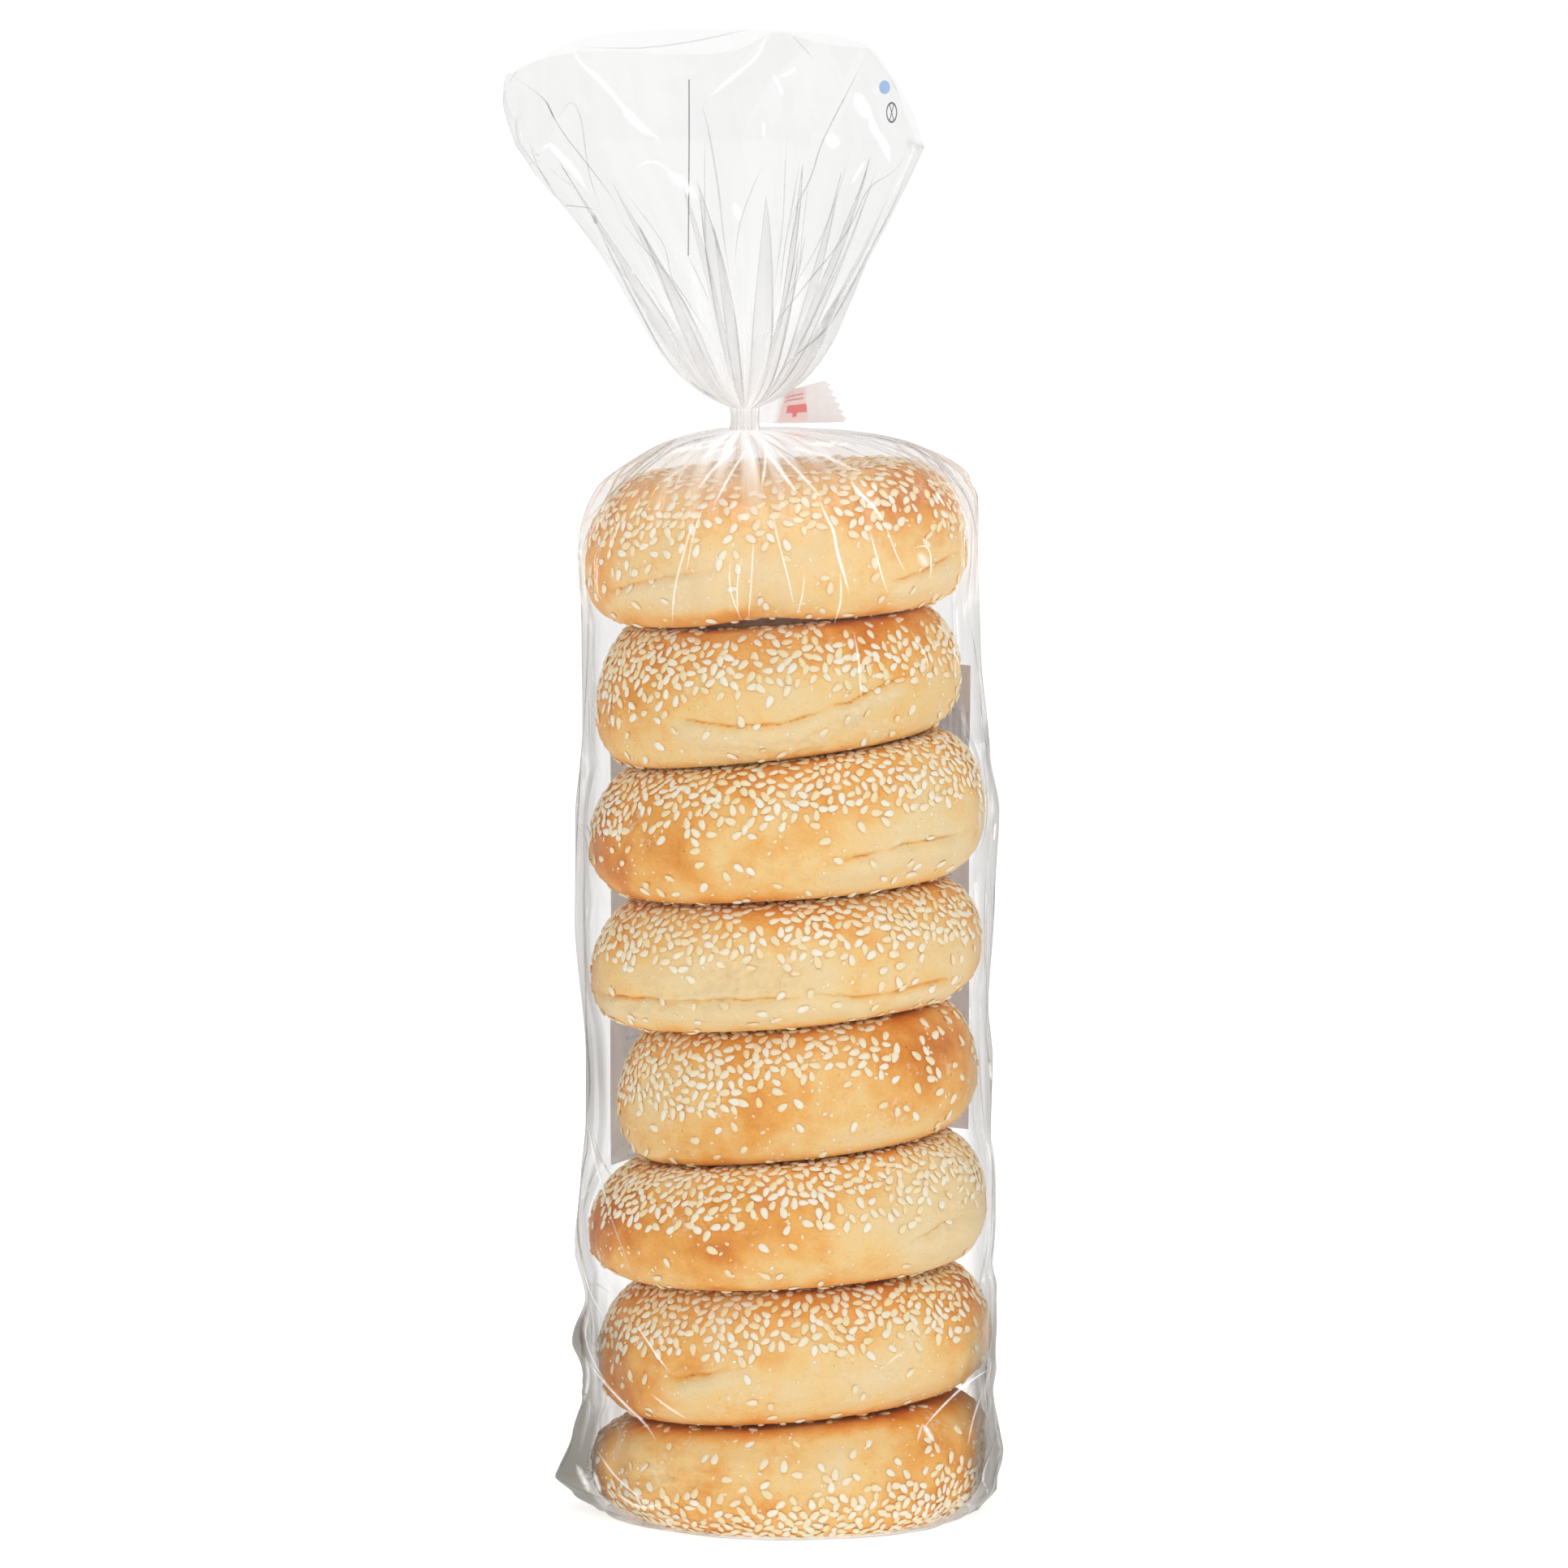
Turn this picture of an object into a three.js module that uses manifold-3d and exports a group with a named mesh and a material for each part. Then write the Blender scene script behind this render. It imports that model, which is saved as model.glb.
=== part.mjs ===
// A clear plastic bag of eight sesame bagels, stacked in one column and standing on its flat base.
// The neck is gathered above the top bagel and held by a strip of tape, and the bag's mouth flares
// out above it as an open, pleated funnel.
// Millimetres, +Z up, the side that is seen first faces -Y. The origin is the middle of the base.
import * as THREE from "three";
import { mergeVertices } from "three/addons/utils/BufferGeometryUtils.js";
import Module from "manifold-3d";

// The bagels from the base up. height is from one plane between two bagels to the next, shift is
// how far a bagel lies to the right, and lean is the slope of its upper plane, up to the right.
const BAGELS = [
  { height: 28.6, width: 104.6, shift: 1.3, lean: 4.8 },
  { height: 34.3, width: 103.0, shift: 1.5, lean: 2.9 },
  { height: 32.4, width: 105.5, shift: 0.2, lean: 6.2 },
  { height: 34.3, width: 94.6, shift: 2.6, lean: 5.1 },
  { height: 32.5, width: 102.0, shift: 0.0, lean: 4.0 },
  { height: 35.8, width: 104.0, shift: 0.0, lean: 6.8 },
  { height: 34.2, width: 95.7, shift: -2.5, lean: 4.0 },
  { height: 36.0, width: 99.6, shift: -2.6, lean: 3.0 },
];

// The film round the stack. It is a flattened tube, so it hugs the bagels at the front and the
// back, and runs straight out to a fold at each side.
const BASE_RADIUS = 47;
const FILM_EASE = 0.8; // between the bagels' rims and the film
const VALLEY_DEPTH = 3.6; // how far the film sinks in between two bagels
const SIDE_X = 52; // about where the side folds are, to find their height on a sloping ring

// The two side folds from the base up, as [z, x]. The tube's lower corners stand out as ears.
const LEFT_FOLD = [
  [0, -48], [4, -55], [9, -60.5], [20, -56.2], [35, -51.6], [47, -54.5], [56, -51.2], [70, -54.5],
  [87, -53], [101, -51.8], [120, -51.8], [152, -54.5], [181, -54.1], [202, -52.4], [255, -53.3],
];
const RIGHT_FOLD = [
  [0, 50], [5, 54], [16, 56.2], [31, 53.7], [37, 54.6], [56, 52.9], [72, 53.8], [97, 52.8],
  [118, 53.3], [131, 52], [160, 53.7], [182, 54.9], [196, 52.4], [223, 49.8], [255, 48.9],
];

// The gathered neck.
const NECK_X = -10.8;
const NECK_RADIUS = 3;
const NECK_BASE = 279.5;
const NECK_TOP = 285;
const SHOULDER_POWER = 1.9; // roundness of the dome between the top bagel's rim and the neck

// The open funnel above the neck. It opens along a straight line and closes in again a little
// towards the mouth. Half widths are in millimetres, and levels are shares of its height.
const FUNNEL_TOP = 381;
const FUNNEL_FOOT = 10; // half width where the straight line would meet the neck
const FUNNEL_SPREAD = 60; // what that line would gain up to the mouth
const FUNNEL_WIDEST = 52;
const FUNNEL_WIDEST_AT = 0.72;
const FUNNEL_ROUNDING = 95; // how fast it narrows away from its widest level
const FUNNEL_KNEE = 0.035; // the level by which it has left the neck
const FUNNEL_FLATNESS = 0.62; // depth over width
const FLAT_FROM = 0.25; // the level above which it has that depth
const FUNNEL_LEAN = 12; // how far its mouth lies to the left of the neck
const FUNNEL_WALL = 1.4;

// The rim is highest at the back, and hangs lowest at the right.
const RIM_DROPS = [
  { angle: 0, drop: 28, spread: 0.55 },
  { angle: Math.PI, drop: 11, spread: 0.7 },
  { angle: -Math.PI / 2, drop: 5.5, spread: 0.8 },
];

// Pleats run down from the neck on both sides of it. The mouth has fewer and broader folds.
// Their depths are shares of the half width.
const NECK_PLEATS = 10;
const SHOULDER_PLEAT_DEPTH = 0.09;
const FUNNEL_PLEAT_DEPTH = 0.11;
const FUNNEL_PLEAT_TURN = 0.4;
const FUNNEL_PLEATS_FROM = 0.08; // the level at which the funnel's pleats are deepest
const MOUTH_FOLDS = 5;
const MOUTH_FOLD_DEPTH = 0.06;
const MOUTH_FOLD_TURN = 2;

// The strip of tape: a collar round the neck, and its two ends stuck together as a flag.
const TAPE_GAP = 0.35;
const COLLAR_WALL = 0.8;
const COLLAR_HEIGHT = 4.3;
const COLLAR_SIDES = 28;
const FLAG_THICKNESS = 0.6;
const FLAG_LEFT = -7.2;
const FLAG_BOTTOM = 281.4;
const FLAG_ROOT_TOP = 284.2;
const FLAG_TOP_LEFT = { x: 0.9, z: 289.6 };
const FLAG_TOP_RIGHT = { x: 9.4, z: 291.9 };
const FLAG_BOTTOM_RIGHT = { x: 14.4, z: 281.6 };
const FLAG_TEETH = 6;
const TOOTH_DEPTH = 1.1;

// The fineness of the mesh.
const SIDES = 60;
const SHARES_OF_BAGEL = [0.14, 0.32, 0.5, 0.68, 0.86, 1]; // heights of the rings round each bagel
const SHOULDER_RINGS = 7;
const FUNNEL_RINGS = 11;
const LINING_RINGS = 7;
const RING_CROWDING = 1.5; // brings the funnel's rings closer together towards the neck
const LINING_BOTTOM = 0.07; // share of the funnel's height

const { lerp, degToRad, clamp, smoothstep } = THREE.MathUtils;

// A smooth bump of height 1 at the angle "middle", going to 0 about two spreads away from it.
function bump(angle, middle, spread) {
  const apart = Math.atan2(Math.sin(angle - middle), Math.cos(angle - middle));
  return Math.exp(-((apart / spread) ** 2));
}

// The planes between bagels: plane 0 is the base, and plane 8 would be the top bagel's upper face.
const planes = [{ z: 0, slope: 0 }];
for (const bagel of BAGELS)
  planes.push({ z: planes.at(-1).z + bagel.height, slope: Math.tan(degToRad(bagel.lean)) });

// What the film takes from the bagels at a level. Level 2.5 is half way up the third bagel.
function stackAt(level) {
  const index = Math.min(Math.floor(level), BAGELS.length - 1);
  const share = level - index;
  const away = Math.abs(2 * share - 1);
  const next = clamp(index + (share < 0.5 ? -1 : 1), 0, BAGELS.length - 1);
  const own = BAGELS[index];
  const other = BAGELS[next];
  return {
    radius: lerp(own.width, other.width, 0.5 * away ** 2) / 2 - VALLEY_DEPTH * away ** 3,
    shift: lerp(own.shift, other.shift, 0.5 * away ** 2),
    z: lerp(planes[index].z, planes[index + 1].z, share),
    slope: lerp(planes[index].slope, planes[index + 1].slope, share),
  };
}

// Where a side fold is at a height.
function foldX(fold, z) {
  const above = fold.findIndex((point) => point[0] >= z);
  if (above <= 0) return (above === 0 ? fold[0] : fold.at(-1))[1];
  const [lowZ, lowX] = fold[above - 1];
  const [highZ, highX] = fold[above];
  return lerp(lowX, highX, (z - lowZ) / (highZ - lowZ));
}

// A point of the film round the stack. It follows the circle round the bagels up to the tangent
// from the side fold, and then that tangent.
function sleevePoint(level, angle) {
  const stack = stackAt(level);
  const side = Math.cos(angle) < 0 ? -1 : 1;
  const fold = foldX(side < 0 ? LEFT_FOLD : RIGHT_FOLD, stack.z + side * SIDE_X * stack.slope);
  const hug = stack.radius + FILM_EASE;
  const tangentAngle = Math.acos(Math.min(1, hug / Math.abs(fold - stack.shift)));
  const fromFold = Math.asin(Math.abs(Math.sin(angle)));
  const radius = hug / Math.cos(Math.max(0, tangentAngle - fromFold));
  const x = stack.shift + radius * Math.cos(angle);
  return new THREE.Vector3(x, radius * Math.sin(angle), stack.z + x * stack.slope);
}

// A point of the dome over the top bagel. share goes from 0 at the bagel's rim to 1 at the neck.
const RIM_LEVEL = BAGELS.length - 0.5;
function shoulderPoint(share, angle) {
  const rim = sleevePoint(RIM_LEVEL, angle);
  const around = share * Math.PI * 0.5;
  const out = Math.cos(around) ** (2 / SHOULDER_POWER);
  const up = Math.sin(around) ** (2 / SHOULDER_POWER);
  const pleat = 1 + SHOULDER_PLEAT_DEPTH * Math.sin(2 * around) * Math.cos(NECK_PLEATS * angle);
  return new THREE.Vector3(
    lerp(NECK_X + NECK_RADIUS * Math.cos(angle), rim.x, out * pleat),
    lerp(NECK_RADIUS * Math.sin(angle), rim.y, out * pleat),
    lerp(rim.z, NECK_BASE, up),
  );
}

// Half the funnel's width at a level.
function funnelHalfWidth(level) {
  const straight = FUNNEL_FOOT + FUNNEL_SPREAD * level;
  const belly = FUNNEL_WIDEST - FUNNEL_ROUNDING * (level - FUNNEL_WIDEST_AT) ** 2;
  const open = level < 0.5 ? straight : Math.min(straight, belly);
  return lerp(NECK_RADIUS, open, 1 - Math.exp(-level / FUNNEL_KNEE));
}

// A point of the funnel, a distance "inset" inside its outer face.
function funnelPoint(share, angle, inset) {
  let rimZ = FUNNEL_TOP;
  for (const side of RIM_DROPS) rimZ -= side.drop * bump(angle, side.angle, side.spread);
  const z = lerp(NECK_TOP, rimZ, share);
  const level = (z - NECK_TOP) / (FUNNEL_TOP - NECK_TOP);
  const halfWidth = funnelHalfWidth(level);
  const flatness = lerp(1, FUNNEL_FLATNESS, smoothstep(level, 0, FLAT_FROM));
  const pleatDepth = FUNNEL_PLEAT_DEPTH * smoothstep(level, 0, FUNNEL_PLEATS_FROM) * (1 - level);
  const fold =
    1 +
    pleatDepth * Math.cos(NECK_PLEATS * angle + FUNNEL_PLEAT_TURN) +
    MOUTH_FOLD_DEPTH * level * Math.cos(MOUTH_FOLDS * angle + MOUTH_FOLD_TURN);
  return new THREE.Vector3(
    NECK_X - FUNNEL_LEAN * level ** 2 + (halfWidth * fold - inset) * Math.cos(angle),
    (halfWidth * flatness * fold - inset) * Math.sin(angle),
    z,
  );
}

// The bag as one profile turned round the axis: each station gives its point at an angle.
function bagStations() {
  const onAxis = (x, z) => () => new THREE.Vector3(x, 0, z);
  const stations = [
    onAxis(0, 0),
    (angle) => new THREE.Vector3(BASE_RADIUS * Math.cos(angle), BASE_RADIUS * Math.sin(angle), 0),
  ];
  for (let index = 0; index < BAGELS.length; index++)
    for (const share of SHARES_OF_BAGEL)
      if (index + share < RIM_LEVEL) stations.push((angle) => sleevePoint(index + share, angle));
  for (let i = 0; i <= SHOULDER_RINGS; i++)
    stations.push((angle) => shoulderPoint(i / SHOULDER_RINGS, angle));
  for (let i = 0; i <= FUNNEL_RINGS; i++)
    stations.push((angle) => funnelPoint((i / FUNNEL_RINGS) ** RING_CROWDING, angle, 0));
  for (let i = LINING_RINGS; i >= 0; i--)
    stations.push((angle) =>
      funnelPoint(lerp(LINING_BOTTOM, 1, (i / LINING_RINGS) ** RING_CROWDING), angle, FUNNEL_WALL),
    );
  const floor = funnelPoint(LINING_BOTTOM * 0.8, 0, 0).z;
  stations.push(onAxis(NECK_X, floor));
  return stations;
}

function bagGeometry() {
  const stations = bagStations();
  const profile = stations.map(
    (_, i) => new THREE.Vector2(i === 0 || i === stations.length - 1 ? 0 : 1, i),
  );
  const geometry = new THREE.LatheGeometry(profile, SIDES);
  const position = geometry.getAttribute("position");
  for (let side = 0; side <= SIDES; side++) {
    const angle = ((side % SIDES) / SIDES) * 2 * Math.PI;
    stations.forEach((station, i) => {
      const point = station(angle);
      position.setXYZ(side * stations.length + i, point.x, point.y, point.z);
    });
  }
  geometry.computeVertexNormals();
  return geometry;
}

// manifold-3d only joins the tape's collar and flag.
const wasm = await Module();
wasm.setup();

function solidOf(geometry) {
  const bare = new THREE.BufferGeometry().setAttribute("position", geometry.getAttribute("position"));
  if (geometry.index) bare.setIndex(geometry.index);
  const merged = mergeVertices(bare, 1e-4);
  return new wasm.Manifold(
    new wasm.Mesh({
      numProp: 3,
      vertProperties: merged.attributes.position.array,
      triVerts: new Uint32Array(merged.index.array),
    }),
  );
}

function geometryOf(solid) {
  const mesh = solid.getMesh();
  const geometry = new THREE.BufferGeometry();
  geometry.setAttribute("position", new THREE.BufferAttribute(mesh.vertProperties, mesh.numProp));
  geometry.setIndex(new THREE.BufferAttribute(mesh.triVerts, 1));
  const flat = geometry.toNonIndexed();
  flat.computeVertexNormals();
  return flat;
}

// The collar: a ring round the neck.
function collarGeometry() {
  const inner = NECK_RADIUS + TAPE_GAP;
  const outer = inner + COLLAR_WALL;
  const bottom = NECK_BASE + TAPE_GAP;
  const top = bottom + COLLAR_HEIGHT;
  const section = [
    [inner, bottom],
    [outer, bottom],
    [outer, top],
    [inner, top],
    [inner, bottom],
  ].map(([r, z]) => new THREE.Vector2(r, z));
  return new THREE.LatheGeometry(section, COLLAR_SIDES)
    .rotateX(Math.PI / 2)
    .translate(NECK_X, 0, 0);
}

// The flag: a flat strip that slopes up to the right, with a saw-toothed end.
function flagGeometry() {
  const outline = new THREE.Shape();
  outline.moveTo(FLAG_LEFT, FLAG_BOTTOM);
  const end = (share) => ({
    x: lerp(FLAG_BOTTOM_RIGHT.x, FLAG_TOP_RIGHT.x, share),
    z: lerp(FLAG_BOTTOM_RIGHT.z, FLAG_TOP_RIGHT.z, share),
  });
  for (let tooth = 0; tooth < FLAG_TEETH; tooth++) {
    const root = end(tooth / FLAG_TEETH);
    const tip = end((tooth + 0.5) / FLAG_TEETH);
    outline.lineTo(root.x, root.z);
    outline.lineTo(tip.x + TOOTH_DEPTH, tip.z);
  }
  outline.lineTo(FLAG_TOP_RIGHT.x, FLAG_TOP_RIGHT.z);
  outline.lineTo(FLAG_TOP_LEFT.x, FLAG_TOP_LEFT.z);
  outline.lineTo(FLAG_LEFT + 1, FLAG_ROOT_TOP);
  outline.lineTo(FLAG_LEFT, FLAG_ROOT_TOP);
  return new THREE.ExtrudeGeometry(outline, { depth: FLAG_THICKNESS, bevelEnabled: false })
    .rotateX(Math.PI / 2)
    .translate(0, FLAG_THICKNESS / 2, 0);
}

const bag = new THREE.Mesh(
  bagGeometry(),
  new THREE.MeshStandardMaterial({ color: 0xe2b877, roughness: 0.3, metalness: 0 }),
);
bag.name = "bag";

const closureTape = new THREE.Mesh(
  geometryOf(solidOf(collarGeometry()).add(solidOf(flagGeometry()))),
  new THREE.MeshStandardMaterial({ color: 0xf3eeec, roughness: 0.45, metalness: 0 }),
);
closureTape.name = "closure_tape";

const baggedBagels = new THREE.Group();
baggedBagels.add(bag, closureTape);

export default baggedBagels;
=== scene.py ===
# A clear plastic bag of eight sesame bagels that stands on its folded bottom, tied with tape at
# the neck. Lengths are in millimetres until a mesh is finished, and Z is up. -Y is the front.
import math
import random

import bmesh
import bpy
from mathutils import Matrix, Vector, noise
from mathutils.bvhtree import BVHTree


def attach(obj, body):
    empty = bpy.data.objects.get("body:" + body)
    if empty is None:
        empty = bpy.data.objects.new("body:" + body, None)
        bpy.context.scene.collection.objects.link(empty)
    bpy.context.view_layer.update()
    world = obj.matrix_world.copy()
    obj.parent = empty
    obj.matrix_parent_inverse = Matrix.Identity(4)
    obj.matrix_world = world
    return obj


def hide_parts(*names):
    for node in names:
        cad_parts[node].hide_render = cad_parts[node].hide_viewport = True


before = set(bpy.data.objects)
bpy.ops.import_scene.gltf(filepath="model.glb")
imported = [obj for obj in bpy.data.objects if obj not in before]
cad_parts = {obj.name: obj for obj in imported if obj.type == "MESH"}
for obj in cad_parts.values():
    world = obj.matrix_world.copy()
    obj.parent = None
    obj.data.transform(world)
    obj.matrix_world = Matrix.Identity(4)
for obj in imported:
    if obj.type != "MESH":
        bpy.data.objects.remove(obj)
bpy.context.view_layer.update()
scene = bpy.context.scene
MM = 0.001


# The studio. The bag stands on a white, evenly lit table, and the camera is 2.4 m away, a little
# above it. A large soft box above the camera lights the bagels, and two thin strip lights behind
# the sides draw the film's edges. What glossy film reflects is a darker room.
CAMERA_AT = Vector((-0.8, -2400, 430)) * MM
AIMED_AT = Vector((-0.8, 0, 188.4)) * MM
PICTURE_WIDTH = 402 * MM  # what the picture shows across, at the bag
SENSOR = 36


class Wire:
    """An output of a shader node. Python's operators on it add Math nodes."""

    def __init__(self, tree, socket=None):
        self.tree = tree
        self.socket = socket

    def node(self, kind, sockets=(), out=0, stops=(), **settings):
        """Adds a node and returns its output number out."""
        made = self.tree.nodes.new("ShaderNode" + kind)
        for name, value in settings.items():
            setattr(made, name, value)
        if stops:
            elements = made.color_ramp.elements
            for element, (place, colour) in zip((elements[0], elements[1]), (stops[0], stops[-1])):
                element.position = place
                element.color = (*colour, 1)
            for place, colour in stops[1:-1]:
                elements.new(place).color = (*colour, 1)
        for name, value in dict(sockets).items():
            if isinstance(value, Wire):
                self.tree.links.new(value.socket, made.inputs[name])
            else:
                made.inputs[name].default_value = value
        return Wire(self.tree, made.outputs[out] if len(made.outputs) else None)

    def maths(self, operation, *values):
        return self.node("Math", enumerate(values or (self,)), operation=operation)

    def __abs__(self):
        return self.maths("ABSOLUTE")

    def __add__(self, other):
        return self.maths("ADD", self, other)

    def __sub__(self, other):
        return self.maths("SUBTRACT", self, other)

    def __mul__(self, other):
        return self.maths("MULTIPLY", self, other)

    def __truediv__(self, other):
        return self.maths("DIVIDE", self, other)

    def __pow__(self, other):
        return self.maths("POWER", self, other)

    def __rsub__(self, other):
        return self.maths("SUBTRACT", other, self)

    __radd__ = __add__
    __rmul__ = __mul__

    def clamped(self):
        return self.node("Clamp", {0: self})

    def between(self, low, high):
        """0 below low, 1 above high, and smooth between them."""
        return self.node("MapRange", {0: self, 1: low, 2: high}, interpolation_type="SMOOTHSTEP")

    def mix(self, first, second):
        """The first colour where this is 0, and the second where it is 1."""
        return self.node("Mix", {0: self, 6: first, 7: second}, out=2, data_type="RGBA")

    def noise(self, size, detail=2.0, rough=0.5, stretch=None):
        """Noise from 0 to 1 on this place, with lumps of a size in millimetres."""
        place = self
        if stretch:
            place = self.node("VectorMath", {0: self, 1: stretch}, operation="MULTIPLY")
        sockets = {"Vector": place, "Scale": 1 / (size * MM), "Detail": detail, "Roughness": rough}
        return self.node("TexNoise", sockets)

    def xyz(self):
        """The three coordinates of this vector."""
        return [self.node("SeparateXYZ", {0: self}, out=i) for i in range(3)]

    def stored(self, name, out="Fac"):
        """What the mesh stores at each vertex under a name."""
        return self.node("Attribute", out=out, attribute_name=name)

    def place(self):
        """The place on the object, in metres."""
        return self.node("TexCoord", out="Object")

    def shows(self, surface, solid=None, clear=(1, 1, 1, 1)):
        """Ends a material with a surface. Where solid is given and less than 1, what is behind
        shows through, coloured by clear."""
        if solid is not None:
            through = self.node("BsdfTransparent", {"Color": clear})
            surface = self.node("MixShader", {0: solid, 1: through, 2: surface})
        self.node("OutputMaterial", {"Surface": surface})


def srgb(red, green, blue):
    """A colour as a picture states it, 0 to 255, made linear for a shader."""
    return tuple(
        (v / 255 / 12.92) if v / 255 <= 0.04045 else ((v / 255 + 0.055) / 1.055) ** 2.4
        for v in (red, green, blue)
    )


def paint(red, green, blue):
    return (*srgb(red, green, blue), 1)


def new_material(name):
    material = bpy.data.materials.new(name)
    material.use_nodes = True
    material.node_tree.nodes.clear()
    return material, Wire(material.node_tree)


def new_object(bm, name, material, smooth=True):
    """Turns a bmesh in millimetres into an object in metres."""
    bmesh.ops.scale(bm, vec=(MM, MM, MM), verts=bm.verts)
    mesh = bpy.data.meshes.new(name)
    bm.to_mesh(mesh)
    bm.free()
    for polygon in mesh.polygons:
        polygon.use_smooth = smooth
    mesh.materials.append(material)
    made = bpy.data.objects.new(name, mesh)
    scene.collection.objects.link(made)
    return made


camera = bpy.data.objects.new("camera", bpy.data.cameras.new("camera"))
camera.location = CAMERA_AT
camera.rotation_euler = (AIMED_AT - CAMERA_AT).to_track_quat("-Z", "Y").to_euler()
camera.data.sensor_width = SENSOR
camera.data.lens = SENSOR * (AIMED_AT - CAMERA_AT).length / PICTURE_WIDTH
camera.data.clip_end = 50  # metres
scene.collection.objects.link(camera)
scene.camera = camera
scene.view_settings.view_transform = "Standard"
scene.cycles.transparent_max_bounces = 48

ROOM_FRONT = paint(186, 186, 188)
ROOM_BACK = paint(232, 232, 234)
ROOM_LOW = paint(224, 224, 226)
FILL = 0.53  # how bright the room is for matte things, where a sheet in full light is 1

world = bpy.data.worlds.new("studio")
world.use_nodes = True
world.node_tree.nodes.clear()
start = Wire(world.node_tree)
seen = start.node("LightPath", out="Is Camera Ray")
mirrored = start.node("LightPath", out="Is Glossy Ray")
_, forward, upward = start.node("TexCoord", out="Generated").xyz()
walls = forward.between(-0.2, 0.9).mix(ROOM_FRONT, ROOM_BACK)
room = start.node("Background", {"Color": upward.between(0.1, 1.0).mix(ROOM_LOW, walls)})
fill = start.node("Background", {"Color": (1, 1, 1, 1), "Strength": FILL})
backdrop = start.node("Background", {"Color": (1, 1, 1, 1), "Strength": 1.0})
light = start.node("MixShader", {0: mirrored, 1: fill, 2: room})
start.node("OutputWorld", {"Surface": start.node("MixShader", {0: seen, 1: light, 2: backdrop})})
scene.world = world

LIGHTS = (
    # name, place, width, height, watts
    ("left_strip", (-0.95, 1.25, 0.4), 0.05, 1.3, 1.7),
    ("right_strip", (0.95, 1.25, 0.4), 0.05, 1.3, 1.7),
    ("soft_box", (0.35, -1.5, 2.0), 3.2, 2.4, 32.5),
)
for name, place, width, height, watts in LIGHTS:
    light = bpy.data.objects.new(name, bpy.data.lights.new(name, "AREA"))
    light.data.shape = "RECTANGLE"
    light.data.size = width
    light.data.size_y = height
    light.data.energy = watts
    light.location = place
    light.rotation_euler = (AIMED_AT - light.location).to_track_quat("-Z", "Y").to_euler()
    scene.collection.objects.link(light)

TABLE_SIZE = 20000
TABLE_GLOW = 0.68  # the table is lit from below too, as a product table is

table_finish, start = new_material("white_table")
mottle = start.place().noise(60)
table_white = mottle.mix(paint(212, 212, 212), paint(214, 214, 214))
sockets = {"Base Color": table_white, "Roughness": 1.0, "Specular IOR Level": 0.0}
glow = {"Emission Color": (1, 1, 1, 1), "Emission Strength": TABLE_GLOW}
start.shows(start.node("BsdfPrincipled", {**sockets, **glow}))
bm = bmesh.new()
bmesh.ops.create_grid(bm, x_segments=8, y_segments=8, size=TABLE_SIZE)
table = new_object(bm, "table", table_finish)


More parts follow.
